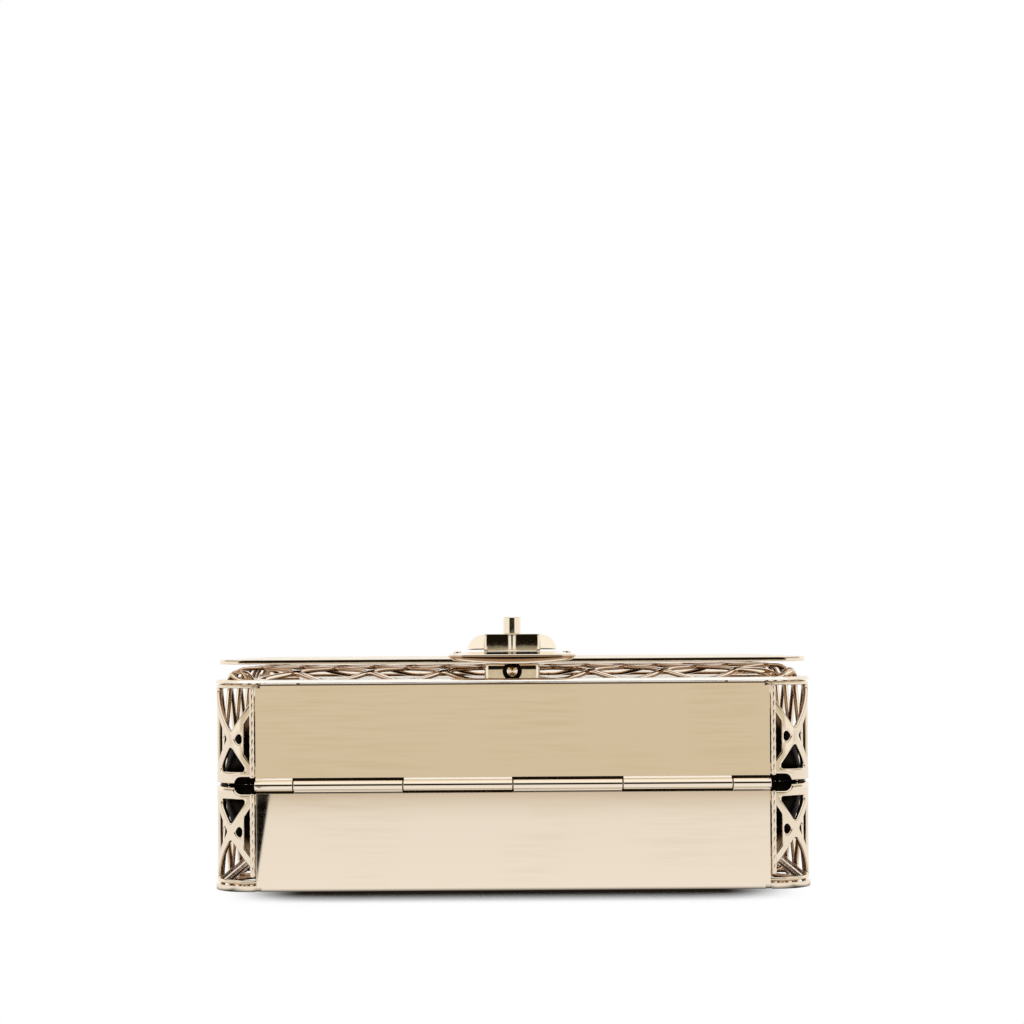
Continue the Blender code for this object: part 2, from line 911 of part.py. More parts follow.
inside_leaf_near = hinge_y - plate_inner_y + seat_gap
inside_leaf = (
    inside_leaf_near,
    inside_leaf_near + leaf_thickness,
    plate_to_seam - seat_gap - leaf_thickness / 2,
    plate_to_seam + leaf_length,
)
flap_leaf = (
    hinge_y - flap_outer_y,
    hinge_y - flap_wing_y,
    plate_to_seam - leaf_thickness / 4,
    plate_to_seam + flap_leaf_length,
)
inside = inside_profile()
hinge_leaf("front_hinge_leaf", (0, 2, 4), inside, inside_leaf, 1, 1, -hinge_y, front_axis)
hinge_leaf("rear_hinge_leaf", (1, 3, 5), inside, inside_leaf, 1, -1, -hinge_y, None)
hinge_leaf("rear_flap_leaf", (0, 2, 4), inside, inside_leaf, -1, -1, hinge_y, None)
hinge_leaf("flap_hinge_leaf", (1, 3, 5), outside_profile(), flap_leaf, -1, 1, hinge_y, flap_axis)
pin_outline_steps = 15
for name, axis_y in (("bottom_hinge_pin", -hinge_y), ("top_hinge_pin", hinge_y)):
    outline = arc((axis_y, seam_z), bore_radius - pin_clearance, 0, 360 - 360 / 16, pin_outline_steps)
    finished(name, prism(name, outline, -knuckle_reach, knuckle_reach, "X"), "hinge")


# Flap: a bent frame round a flat quilted panel.
def flap_profile():
    low = seam_z + plate_to_seam + flap_leaf_length + seat_gap
    inner = flap_bend_radius
    outer = flap_bend_radius + flap_thickness
    middle = (flap_outer_y - outer, flap_top - outer)
    points = [(flap_edge_y, flap_under)]
    points += arc(middle, inner, 90, 0, 5)
    points += [(flap_wing_y, low), (flap_outer_y, low)]
    points += arc(middle, outer, 0, 90, 5)
    points += [(flap_edge_y, flap_top)]
    return points


flap_frame = finished(
    "flap_frame",
    prism("flap_frame", flap_profile(), -flap_half_width, flap_half_width, "X"),
    "flap",
    flap_axis,
)
flap_window_far_y = flap_outer_y - flap_bend_radius - flap_thickness - flap_frame_width
flap_window = rounded(
    -flap_half_width + flap_frame_width,
    flap_half_width - flap_frame_width,
    slot_near_y,
    flap_window_far_y,
    flap_corner_radius - flap_frame_width,
    3,
)
flap_window_tool = prism("flap_window", flap_window, seam_z, flap_top + over)
combine(flap_frame, cutter("flap_window", flap_window_tool), "DIFFERENCE")


def corner_outline(side):
    """What rounding takes off one lower corner of the flap."""
    reach = flap_corner_radius
    middle = (flap_half_width - reach, flap_edge_y + reach)
    points = arc(middle, reach, 0, -90, 6)
    tail = [
        (middle[0], flap_edge_y - reach),
        (flap_half_width + reach, flap_edge_y - reach),
        (flap_half_width + reach, middle[1]),
    ]
    return [(side * x, y) for x, y in points + tail]


for side_name, side in (("left", -1), ("right", 1)):
    corner = prism("flap_corner_" + side_name, corner_outline(side), seam_z, flap_top + over)
    combine(flap_frame, cutter("flap_corner_" + side_name, corner), "DIFFERENCE")

# The flap's openwork: one field over the whole width, and two beside the lock.
flap_panel_low = slot_near_y + seat_gap
flap_panel_pitch = (
    body_width / quilt_columns,
    (flap_window_far_y - seat_gap - flap_panel_low) / quilt_rows,
)
lock_seat_half_x = escutcheon_width / 2 - lock_seat_inset
lock_seat_far_y = flap_panel_low + flap_panel_pitch[1] - seat_gap / 2
flap_region = rounded(
    -flap_half_width + flap_frame_width + seat_gap,
    flap_half_width - flap_frame_width - seat_gap,
    flap_panel_low,
    flap_window_far_y - seat_gap,
    flap_corner_radius - flap_frame_width,
    2,
)
beside_lock = kept_side(flap_region, (0, lock_seat_far_y), (0, -1))
flap_fields = (
    ("flap_panel", kept_side(flap_region, (0, lock_seat_far_y + seat_gap), (0, 1))),
    ("flap_field_right", kept_side(beside_lock, (lock_seat_half_x + seat_gap, 0), (1, 0))),
    ("flap_field_left", kept_side(beside_lock, (-lock_seat_half_x - seat_gap, 0), (-1, 0))),
)


def flap_face(u, v, lift):
    return (u, v, flap_top - strut_crown + lift)


for name, region in flap_fields:
    field = openwork(
        name,
        region,
        [rail_width],
        flap_panel_pitch,
        (0, flap_panel_low),
        flap_face,
        flap_thickness - strut_crown,
        whole,
        1,
    )
    finished(name, field, "flap", flap_axis)

# The seat that carries the lock plate, open towards the lower border.
lock_seat_outline = rectangle(-lock_seat_half_x, lock_seat_half_x, flap_panel_low, lock_seat_far_y)
lock_seat = finished(
    "lock_seat",
    prism("lock_seat", lock_seat_outline, flap_under, flap_top),
    "flap",
    flap_axis,
)
slot_outline = rounded(
    -slot_half_x,
    slot_half_x,
    slot_near_y,
    slot_far_y,
    slot_corner_radius,
    4,
)
slot_cutter = cutter("lock_slot", prism("lock_slot", slot_outline, cushion_top, flap_top + over))
seat_cut_outline = rounded(
    -slot_half_x,
    slot_half_x,
    slot_near_y - slot_corner_radius,
    slot_far_y,
    slot_corner_radius,
    4,
)
seat_tool = prism("lock_seat_slot", seat_cut_outline, cushion_top, flap_top + over)
combine(lock_seat, cutter("lock_seat_slot", seat_tool), "DIFFERENCE")


# Lock plate on the flap: a slotted plate with a lip over the flap's edge.
escutcheon_outline = rounded(
    -escutcheon_width / 2,
    escutcheon_width / 2,
    escutcheon_y - escutcheon_half_y,
    escutcheon_y + escutcheon_half_y,
    escutcheon_corner_radius,
    8,
)
escutcheon = finished(
    "escutcheon",
    prism("escutcheon", escutcheon_outline, flap_under, escutcheon_top),
    "lock",
    flap_axis,
)
under_outline = rectangle(
    -body_width,
    body_width,
    flap_edge_y - seat_gap,
    body_height,
)
under_tool = prism("escutcheon_under", under_outline, flap_under - over, escutcheon_under)
combine(escutcheon, cutter("escutcheon_under", under_tool), "DIFFERENCE")
combine(escutcheon, slot_cutter, "DIFFERENCE")
soften(escutcheon, escutcheon_thickness / 5)
screw_x = (escutcheon_width / 2 + slot_half_x) / 2
for side_name, side in (("left", -1), ("right", 1)):
    name = "escutcheon_screw_" + side_name
    outline = arc((side * screw_x, escutcheon_y), screw_radius, 0, 330, 11)
    low = escutcheon_top + seat_gap
    head = finished(name, prism(name, outline, low, low + screw_height), "lock", flap_axis)
    soften(head, screw_height / 3)


# Lock on the front shell: bracket, base with its stud, and the turning post.
bracket_outline = rounded(
    -lock_base_width / 2 - bracket_margin,
    lock_base_width / 2 + bracket_margin,
    -plate_inner_y + seat_gap,
    base_far_y + bracket_margin,
    bracket_margin,
    3,
)
finished(
    "lock_bracket",
    prism("lock_bracket", bracket_outline, bracket_under, bracket_top),
    "lock",
    front_axis,
)
base_outline = rounded(
    -lock_base_width / 2,
    lock_base_width / 2,
    base_near_y,
    base_far_y,
    lock_base_corner,
    4,
)
base_mesh = prism("lock_base", base_outline, base_under, base_top)
lock_base = finished("lock_base", base_mesh, "lock", front_axis)
post_bore = arc((0, lock_y), post_radius + pin_clearance, 0, 360 - 360 / 20, 19)
post_seat = base_under + leaf_thickness
post_tool = prism("post_bore", post_bore, post_seat - seat_gap, base_top + over)
combine(lock_base, cutter("post_bore", post_tool), "DIFFERENCE")
stud_z = (body_depth + base_top) / 2
recess = arc((0, stud_z), stud_recess_radius, 0, 360 - 360 / 20, 19)
recess_tool = prism("stud_recess", recess, base_near_y - over, base_near_y + stud_recess_depth, "Y")
combine(lock_base, cutter("stud_recess", recess_tool), "DIFFERENCE")
soften(lock_base, stud_recess_depth / 6)
stud_outline = arc((0, stud_z), stud_radius, 0, 360 - 360 / 16, 15)
stud_mesh = prism(
    "base_stud",
    stud_outline,
    base_near_y - seat_gap,
    base_near_y + stud_recess_depth - seat_gap,
    "Y",
)
soften(finished("base_stud", stud_mesh, "lock", front_axis), stud_radius / 6)

post_outline = arc((0, lock_y), post_radius, 0, 360 - 360 / 20, 19)
finished(
    "lock_post",
    prism("lock_post", post_outline, post_seat, collar_under - seat_gap),
    "lock",
    knob_axis,
)
collar_outline = rounded(
    -knob_block_length / 2,
    knob_block_length / 2,
    lock_y - knob_width / 2,
    lock_y + knob_width / 2,
    knob_width / 6,
    3,
)
finished(
    "knob_collar",
    prism("knob_collar", collar_outline, collar_under, collar_under + collar_height),
    "lock",
    knob_axis,
)


# Knob: a block between two lobes that fall away to its ends.
def lobe_outline():
    reach = (knob_length - knob_block_length) / 2
    low = knob_under + seat_gap / 2
    rise = knob_height * knob_lobe_share - seat_gap
    right = []
    for step in range(9):
        angle = math.radians(90 * step / 8)
        right.append((knob_block_length / 2 + reach * math.cos(angle), low + rise * math.sin(angle)))
    return right + [(-x, z) for x, z in reversed(right)]


turn_knob = finished(
    "turn_knob",
    prism(
        "turn_knob",
        lobe_outline(),
        lock_y - knob_lobe_width / 2,
        lock_y + knob_lobe_width / 2,
        "Y",
    ),
    "lock",
    knob_axis,
)
block_outline = rectangle(
    -knob_block_length / 2,
    knob_block_length / 2,
    lock_y - knob_width / 2,
    lock_y + knob_width / 2,
)
block = prism("knob_block", block_outline, knob_under, knob_top)
combine(turn_knob, cutter("knob_block", block), "UNION")
for side_name, side in (("near", -1), ("far", 1)):
    edge = lock_y + side * knob_width / 2
    groove = [
        (-knob_groove_width / 2, edge + side * knob_groove_width / 2),
        (0, edge - side * knob_groove_width / 2),
        (knob_groove_width / 2, edge + side * knob_groove_width / 2),
    ]
    label = "knob_groove_" + side_name
    groove_tool = prism(label, groove, knob_under - over, knob_top + over)
    combine(turn_knob, cutter(label, groove_tool), "DIFFERENCE")
soften(turn_knob, knob_groove_width / 5)
peg_outline = arc((0, lock_y), peg_radius, 0, 360 - 360 / 20, 19)
peg_mesh = prism("knob_peg", peg_outline, peg_under, peg_under + peg_height)
peg = finished("knob_peg", peg_mesh, "lock", knob_axis)
soften(peg, peg_radius / 8)
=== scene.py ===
"""Openwork metal flap bag, lying on its back: its finish, its light and its view.

X is the width of the bag, -Y its bottom, +Y its top and +Z the way its front
faces. Every length is in metres. A solid is its points and its faces.
"""

import itertools
import math

import bpy
import numpy as np
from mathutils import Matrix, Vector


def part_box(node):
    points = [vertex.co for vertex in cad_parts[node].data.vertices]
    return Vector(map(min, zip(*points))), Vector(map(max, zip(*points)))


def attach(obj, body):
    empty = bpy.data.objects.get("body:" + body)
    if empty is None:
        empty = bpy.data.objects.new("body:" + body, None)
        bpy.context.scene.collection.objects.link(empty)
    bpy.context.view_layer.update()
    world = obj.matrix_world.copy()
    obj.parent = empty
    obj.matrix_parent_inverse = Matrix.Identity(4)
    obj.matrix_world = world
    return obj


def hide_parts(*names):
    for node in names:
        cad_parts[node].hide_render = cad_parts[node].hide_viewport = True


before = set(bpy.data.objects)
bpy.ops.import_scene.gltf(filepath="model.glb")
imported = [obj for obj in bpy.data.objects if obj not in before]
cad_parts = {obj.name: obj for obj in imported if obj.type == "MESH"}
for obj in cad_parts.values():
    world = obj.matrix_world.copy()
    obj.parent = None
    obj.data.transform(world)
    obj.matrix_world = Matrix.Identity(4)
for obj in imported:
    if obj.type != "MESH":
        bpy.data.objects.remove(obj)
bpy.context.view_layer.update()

scene = bpy.context.scene
scene.view_settings.view_transform = "Standard"


# Camera. It stands level with the lock, square to the bottom of the bag, and
# is shifted so that the bag lies low in the picture.
bottom_y = -0.0575
camera_distance = 0.600
camera_height = 0.07466
focal_pixels = 2013
picture_pixels = 1024
horizon_pixel = 640
sensor_width = 36
roll = math.radians(0.37)

camera_data = bpy.data.cameras.new("camera")
camera_data.sensor_width = sensor_width
camera_data.lens = sensor_width * focal_pixels / picture_pixels
camera_data.shift_y = (horizon_pixel - picture_pixels / 2) / picture_pixels
camera = bpy.data.objects.new("camera", camera_data)
camera.location = (0, bottom_y - camera_distance, camera_height)
camera.rotation_euler = (math.pi / 2, roll, 0)
scene.collection.objects.link(camera)
scene.camera = camera


# Studio. A pale table with a darker, warm part in front of the bag, which only
# the metal sees, and paper all round that is white behind and above.
floor_half_x, floor_near_y, floor_far_y = 1.6, -0.46, 1.6
shadow_reach = 0.040
white = (1.0, 1.0, 1.0)


def link(start, end):
    end.id_data.links.new(start, end)


def feed(socket, given):
    """Gives a socket another socket, a number or a colour."""
    if isinstance(given, bpy.types.NodeSocket):
        link(given, socket)
    else:
        socket.default_value = (*given, 1) if isinstance(given, tuple) else given


def value_node(operation, *inputs):
    """The output of a math node; one of its inputs at least is a socket."""
    tree = [given for given in inputs if isinstance(given, bpy.types.NodeSocket)][0].id_data
    made = tree.nodes.new("ShaderNodeMath")
    made.operation = operation
    for socket, given in zip(made.inputs, inputs):
        feed(socket, given)
    return made.outputs[0]


def times(first, *others):
    for other in others:
        first = value_node("MULTIPLY", first, other)
    return first


def beyond(value, limit):
    """How far the size of a value passes a limit."""
    return value_node("SUBTRACT", value_node("ABSOLUTE", value), limit)


def range_node(value, low, high, smooth=False):
    """0 at low and 1 at high, and level past them."""
    made = value.id_data.nodes.new("ShaderNodeMapRange")
    made.interpolation_type = "SMOOTHSTEP" if smooth else "LINEAR"
    for name, given in (("Value", value), ("From Min", low), ("From Max", high)):
        feed(made.inputs[name], given)
    return made.outputs[0]


def mix_node(factor, first, second):
    """The first colour where the factor is 0, and the second where it is 1."""
    made = factor.id_data.nodes.new("ShaderNodeMix")
    made.data_type = "RGBA"
    for index, given in ((0, factor), (6, first), (7, second)):
        feed(made.inputs[index], given)
    return made.outputs[2]


def ramp_node(value, *stops):
    """A colour ramp with stops given as place, red, green and blue."""
    made = value.id_data.nodes.new("ShaderNodeValToRGB")
    held = made.color_ramp.elements
    held.remove(held[1])
    for index, (position, *colour) in enumerate(stops):
        stop = held.new(position) if index else held[0]
        stop.position = position
        stop.color = (*colour, 1)
    link(value, made.inputs[0])
    return made.outputs[0]


def axes_of(tree, space="Object"):
    """The sockets of a point's x, y and z."""
    parts = tree.nodes.new("ShaderNodeSeparateXYZ")
    link(tree.nodes.new("ShaderNodeTexCoord").outputs[space], parts.inputs[0])
    return parts.outputs


def camera_ray(tree):
    return tree.nodes.new("ShaderNodeLightPath").outputs["Is Camera Ray"]


def grid_faces(rows, columns, closed_rows=False):
    """Quads between neighbours of a grid that is numbered row by row; each row
    is a loop."""
    i, j = np.indices((rows if closed_rows else rows - 1, columns)).reshape(2, -1)
    here, below = i * columns, (i + 1) % rows * columns
    right = (j + 1) % columns
    return np.stack([here + j, here + right, below + right, below + j], 1)


def rectangle(us, vs):
    (left, right), (low, high) = sorted(us), sorted(vs)
    return np.array([(left, low), (right, low), (right, high), (left, high)])


def object_of(name, solid, material):
    mesh = bpy.data.meshes.new(name)
    points, faces = solid
    mesh.from_pydata(points.tolist(), [], faces)
    mesh.polygons.foreach_set("use_smooth", [True] * len(mesh.polygons))
    mesh.update()
    mesh.materials.append(material)
    made = bpy.data.objects.new(name, mesh)
    scene.collection.objects.link(made)
    return made


table = bpy.data.materials.new("pale_table")
table.use_nodes = True
tree = table.node_tree
across, along, _ = axes_of(tree)
near_tone = ramp_node(
    range_node(along, -0.46, -0.06),
    (0.0, 0.64, 0.57, 0.49),
    (0.08, 0.69, 0.63, 0.57),
    (0.16, 0.76, 0.72, 0.67),
    (0.30, 0.84, 0.82, 0.80),
    (0.42, 0.88, 0.87, 0.865),
    (1.0, 0.92, 0.91, 0.91),
)
# A black card lies to the left, where only the lower plate's end mirrors it.
card_near = value_node("MULTIPLY_ADD", along, 0.1092, -0.0704)
card_far = value_node("MULTIPLY_ADD", along, 0.1283, -0.0696)
card = times(
    range_node(value_node("SUBTRACT", card_near, across), 0.0, 0.0008),
    range_node(value_node("SUBTRACT", across, card_far), 0.0, 0.0008),
)
mirrored_tone = mix_node(card, near_tone, (0.004, 0.003, 0.002))
# Under the bag the table is dark; the shade reaches a little way out of it.
outside = value_node("MAXIMUM", beyond(across, 0.086), beyond(along, 0.056))
under = range_node(outside, 0.0, 0.010, smooth=True)
mirrored_floor = tree.nodes.new("ShaderNodeEmission")
link(mix_node(under, (0.010, 0.007, 0.005), mirrored_tone), mirrored_floor.inputs["Color"])
# What the camera sees of the table is a white glow with a painted shadow: darkened by ambient
# occlusion near the bag and faded out toward its ends.
close = tree.nodes.new("ShaderNodeAmbientOcclusion")
close.samples = 16
close.inputs["Distance"].default_value = shadow_reach
shade = value_node("POWER", range_node(close.outputs["AO"], 0.645, 0.885), 1.2)
shade = mix_node(shade, (0.013, 0.009, 0.006), white)
to_ends = range_node(value_node("ABSOLUTE", across), 0.062, 0.088, smooth=True)
seen_floor = tree.nodes.new("ShaderNodeEmission")
link(mix_node(to_ends, shade, white), seen_floor.inputs["Color"])
either = tree.nodes.new("ShaderNodeMixShader")
given = (camera_ray(tree), mirrored_floor.outputs[0], seen_floor.outputs[0])
for socket, start in zip(either.inputs, given):
    link(start, socket)
link(either.outputs[0], tree.nodes["Material Output"].inputs["Surface"])

corners = rectangle((-floor_half_x, floor_half_x), (floor_near_y, floor_far_y))
floor = object_of("floor", (np.insert(corners, 2, 0, axis=1), [(0, 1, 2, 3)]), table)

world = bpy.data.worlds.new("studio")
scene.world = world
world.use_nodes = True
_, forward, upward = axes_of(world.node_tree, "Generated")
height = range_node(upward, -1, 1)
front = ramp_node(
    height,
    (0.0, 1.00, 0.98, 0.95),
    (0.30, 0.96, 0.93, 0.88),
    (0.44, 0.80, 0.76, 0.70),
    (0.465, 0.70, 0.635, 0.51),
    (0.4950, 0.70, 0.635, 0.51),
    (0.4978, 0.02, 0.014, 0.009),
    (0.52, 0.010, 0.007, 0.004),
    (0.84, 0.012, 0.009, 0.006),
    (0.885, 0.30, 0.27, 0.22),
    (0.93, 1.10, 1.08, 1.05),
    (1.0, 1.06, 1.06, 1.05),
)
around = ramp_node(
    height,
    (0.0, 1.0, 0.98, 0.95),
    (0.48, 1.0, 0.99, 0.97),
    (0.56, 0.92, 0.90, 0.87),
    (0.66, 0.35, 0.31, 0.26),
    (0.76, 0.60, 0.57, 0.52),
    (0.90, 1.06, 1.05, 1.03),
    (1.0, 1.06, 1.06, 1.05),
)
room = mix_node(range_node(forward, -0.76, -0.88, smooth=True), around, front)
room = mix_node(range_node(forward, 0.15, 0.45, smooth=True), room, white)
sky = world.node_tree.nodes["Background"]
link(mix_node(camera_ray(world.node_tree), room, white), sky.inputs["Color"])


# Rims. Each shell has a flat ring of cast brass round its face, polished and
# plated pale gold, with its edges broken by the polishing wheel.
half_x, half_y = 0.0900, 0.0575
corner_radius = 0.0110
rim_width = 0.0030
rim_bevel, rim_bevel_rise, rim_foot_share = 0.00055, 0.00085, 0.12
gap = 0.0003
plate_half = 0.0767
plate_thickness = 0.0010
fine_edge = 0.00012


def quarter(cx, cy, radius, start, steps):
    """A quarter circle from start degrees, anticlockwise."""
    turn = np.radians(start + np.linspace(0, 90, steps + 1))
    return np.stack([cx + radius * np.cos(turn), cy + radius * np.sin(turn)], 1)


def rounded_loop(half, low, high, radius, steps=10):
    """A rectangle with round corners, from -half to half and from low to high,
    as one closed anticlockwise loop."""
    x, near, far = half - radius, low + radius, high - radius
    corners = ((x, near, -90), (x, far, 0), (-x, far, 90), (-x, near, 180))
    return np.concatenate([quarter(x, y, radius, start, steps) for x, y, start in corners])


def circle_loop(x, y, radius, steps=48):
    turn = np.arange(steps) * 2 * math.pi / steps
    return np.stack([x + radius * np.cos(turn), y + radius * np.sin(turn)], 1)


def inset(loop, distance):
    """The loop moved inward by a distance at right angles to its sides. Where
    two sides with normals m and n meet, the point moves by (m + n) / (1 + m.n)."""
    ahead = np.roll(loop, -1, 0) - loop
    ahead /= np.linalg.norm(ahead, axis=1)[:, None]
    normal = np.stack([-ahead[:, 1], ahead[:, 0]], 1)
    before = np.roll(normal, 1, 0)
    share = (normal + before) / (1 + (normal * before).sum(1))[:, None]
    return loop + share * np.asarray(distance).reshape(-1, 1)


def in_space(flat, level, facing="Z"):
    """Points of an outline at a level along the axis that it faces."""
    level = np.full(len(flat), level)
    return np.insert(flat, "XYZ".index(facing), level, axis=1)


def lofted(rows, facing="Z", caps=True):
    """A solid over closed rows of equal count, given from low to high."""
    count = len(rows[0])
    faces = grid_faces(len(rows), count, closed_rows=not caps).tolist()
    if caps:
        last = (len(rows) - 1) * count
        faces += [list(range(count))[::-1], list(range(last, last + count))]
    if facing == "Y":
        faces = [face[::-1] for face in faces]
    return np.concatenate(rows), faces


def rounding(radius, steps, top_rise):
    """How far a rounded edge draws in, radius * (1 - sin a), and over what
    height at its low and at its high end, radius * (1 - cos a), a from 0 to 90
    degrees; the high end may have a height of its own, top_rise."""
    turn = np.linspace(0, math.pi / 2, steps + 1)
    rise = radius * (1 - np.cos(turn))
    return radius * (1 - np.sin(turn)), rise, rise * (top_rise or radius) / radius


def slab(outline, low, high, radius=fine_edge, facing="Z", steps=4, top_rise=None):
    """An outline pushed from low to high, with rounded edges."""
    draw, rise, drop = rounding(radius, steps, top_rise)
    levels = [*zip(draw, low + rise), *zip(draw[::-1], high - drop[::-1])]
    return lofted([in_space(inset(outline, d), level, facing) for d, level in levels], facing)


def ring(outer, inner, low, high, radius, steps=4, shares=1.0, top_rise=None, foot=1.0):
    """A flat ring between two loops of equal count, with rounded edges; foot
    makes the rounding of the low end less, and shares that of the outer loop,
    point by point."""
    draw, rise, drop = rounding(radius, steps, top_rise)
    low_end, high_end = [*zip(draw * foot, rise * foot)], [*zip(draw, drop)][::-1]
    rows = [in_space(inset(outer, d * shares), low + r * shares) for d, r in low_end]
    rows += [in_space(inset(outer, d * shares), high - r * shares) for d, r in high_end]
    rows += [in_space(inset(inner, -d), high - r) for d, r in zip(draw, rise)]
    rows += [in_space(inset(inner, -d), low + r) for d, r in low_end[::-1]]
    return lofted(rows, caps=False)


def joined(*solids):
    """One solid from several."""
    points, faces, total = [], [], 0
    for some_points, some_faces in solids:
        points.append(some_points)
        faces += [[corner + total for corner in face] for face in some_faces]
        total += len(some_points)
    return np.concatenate(points), faces


def add_piece(node, form, solid, material, body, flats=True):
    """Puts a piece on its body in place of the node that it stands for. A hard
    piece takes its shading from its flat faces."""
    made = object_of(f"{node}_{form}", solid, material)
    if flats:
        normals = made.modifiers.new("flat_faces", "WEIGHTED_NORMAL")
        normals.keep_sharp = False
        normals.weight = 100
    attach(made, body)
    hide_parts(node)
    return made


def metal_surface_group():
    """Polished metal: slow waves from the wheel, fine scratches and a film of
    warmer tone, all of it small."""
    group = bpy.data.node_groups.new("metal_surface", "ShaderNodeTree")
    for side, kind, names in (
        ("INPUT", "Vector", ["Place"]),
        ("INPUT", "Float", ["Wave Scale", "Scratch Scale", "Smooth", "Rough"]),
        ("INPUT", "Color", ["Pale", "Warm"]),
        ("OUTPUT", "Color", ["Colour"]),
        ("OUTPUT", "Float", ["Roughness", "Height"]),
    ):
        for name in names:
            group.interface.new_socket(name, in_out=side, socket_type="NodeSocket" + kind)
    start = group.nodes.new("NodeGroupInput").outputs
    end = group.nodes.new("NodeGroupOutput").inputs
    grain = []
    for scale, detail in (("Wave Scale", 2), ("Scratch Scale", 3)):
        noise = group.nodes.new("ShaderNodeTexNoise")
        noise.inputs["Detail"].default_value = detail
        link(start["Place"], noise.inputs["Vector"])
        link(start[scale], noise.inputs["Scale"])
        grain.append(noise.outputs["Fac"])
    wave, scratch = grain
    rough = range_node(scratch, 0.3, 0.7)
    link(start["Smooth"], rough.node.inputs["To Min"])
    link(start["Rough"], rough.node.inputs["To Max"])
    link(mix_node(wave, start["Pale"], start["Warm"]), end["Colour"])
    link(rough, end["Roughness"])
    link(value_node("MULTIPLY_ADD", scratch, 0.02, wave), end["Height"])
    return group


metal_surface = metal_surface_group()


def gold(name, pale, warm, smooth, rough, waves, depth, scratches=900.0, stretch=(1, 1, 1)):
    """Plated brass; waves per metre and their depth set how it ripples."""
    made = bpy.data.materials.new(name)
    made.use_nodes = True
    tree = made.node_tree
    shader = tree.nodes["Principled BSDF"].inputs
    shader["Metallic"].default_value = 1
    turn = tree.nodes.new("ShaderNodeMapping")
    turn.inputs["Scale"].default_value = stretch
    link(tree.nodes.new("ShaderNodeTexCoord").outputs["Object"], turn.inputs["Vector"])
    surface = tree.nodes.new("ShaderNodeGroup")
    surface.node_tree = metal_surface
    given = (turn.outputs[0], waves, scratches, smooth, rough, pale, warm)
    for socket, value in zip(surface.inputs, given):
        feed(socket, value)
    bump = tree.nodes.new("ShaderNodeBump")
    bump.inputs["Distance"].default_value = depth
    link(surface.outputs["Colour"], shader["Base Color"])
    link(surface.outputs["Roughness"], shader["Roughness"])
    link(surface.outputs["Height"], bump.inputs["Height"])
    link(bump.outputs[0], shader["Normal"])
    return made


def toned(made, where, tone, rough=0.0):
    """Gives a metal another tone where the mask is 1; where() makes the mask
    from a point's x, y and z."""
    shader = made.node_tree.nodes["Principled BSDF"].inputs
    mask = where(*axes_of(made.node_tree))
    plain = shader["Base Color"].links[0].from_socket
    link(mix_node(mask, plain, tone), shader["Base Color"])
    polish = shader["Roughness"].links[0].from_socket
    link(value_node("MAXIMUM", polish, times(mask, rough)), shader["Roughness"])
    return mask


def painted_glow(made, where):
    """Where the mask is 1, a pale satin tone instead of bare metal, and a faint
    glow: painted light that stands in for the light coming through the openwork."""
    shader = made.node_tree.nodes["Principled BSDF"].inputs
    mask = toned(made, where, (0.80, 0.77, 0.71), 0.5)
    link(value_node("SUBTRACT", 1.0, mask), shader["Metallic"])
    link(mix_node(mask, (0.0, 0.0, 0.0), (0.97, 0.94, 0.88)), shader["Emission Color"])
    shader["Emission Strength"].default_value = 0.60


def inner_edge(x, y, z):
    """The ring's inner edge along the top of the bag."""
    inner = half_y - rim_width
    after = range_node(y, inner - 0.0004, inner - 0.0002)
    return times(after, range_node(y, inner + 0.0004, inner + 0.0002))


def highlit_bevel(x, y, z):
    """The bevel round the front ring, painted paler as a highlight."""
    return range_node(value_node("ABSOLUTE", y), half_y - 0.00065, half_y - 0.00050)


cast = ((0.93, 0.82, 0.67), (0.90, 0.77, 0.60), 0.04, 0.09, 140.0, 0.00003)
cast_gold = gold("cast_gold", *cast)
front_rim_gold = gold("front_rim_gold", *cast)
# The front ring's outer bevel is painted paler as a highlight.
toned(front_rim_gold, highlit_bevel, (0.99, 0.95, 0.88))
# Its inner edge along the top is painted pale and glowing, as the light that comes through the
# openwork.
painted_glow(front_rim_gold, inner_edge)
front_rim_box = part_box("front_rim")
rear_rim_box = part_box("rear_rim")
outer_loop = rounded_loop(half_x, -half_y, half_y, corner_radius, 14)
inner_loop = inset(outer_loop, rim_width)
levels = [corner.z for corner in front_rim_box]
bevel = dict(radius=rim_bevel, steps=1, top_rise=rim_bevel_rise, foot=rim_foot_share)
front_ring = ring(outer_loop, inner_loop, *levels, **bevel)
add_piece("front_rim", "ring", front_ring, front_rim_gold, "front_shell")
# The rear ring is cut away for the bottom plate, which runs down to the table.
seat_x = plate_half + gap
seat_y = -half_y + plate_thickness + gap
cut = [(-seat_x, -half_y), (-seat_x, seat_y), (seat_x, seat_y), (seat_x, -half_y)]
within = [(x, -half_y + rim_width) for x in (-seat_x, -seat_x + gap, seat_x - gap, seat_x)]
rear_loops = np.concatenate([cut, outer_loop]), np.concatenate([within, inner_loop])
rear_ring = ring(*rear_loops, *[corner.z for corner in rear_rim_box], fine_edge)
add_piece("rear_rim", "ring", rear_ring, cast_gold, "rear_shell")


# Quilted panels. A cast lattice of rounded struts, crossed on the bias like
# quilting, fills the face of each shell. The front one is puffed up.
strut_width = 0.0024
rail_width = 0.0012
bar_width = 0.0008
panel_thickness = 0.0012
opening_radius = 0.0009
quilt_crown = 0.0010
strut_steps = 14
edge_halvings = 26
weld_distance = 2e-6
edge_shares = np.array([0.0, 0.22, 0.45, 0.65, 0.80, 0.90, 0.96, 1.0])
solid_shares = np.array([0.0, 0.5, 0.999])


def sides_of(polygon):
    return zip(polygon, polygon[1:] + polygon[:1])


def line_of(start, end):
    """A side as its start and its unit normal inward."""
    length = math.dist(start, end)
    return start, (-(end[1] - start[1]) / length, (end[0] - start[0]) / length)


def passed(point, line):
    """How far a point lies inward of a line."""
    start, inward = line
    return (point[0] - start[0]) * inward[0] + (point[1] - start[1]) * inward[1]


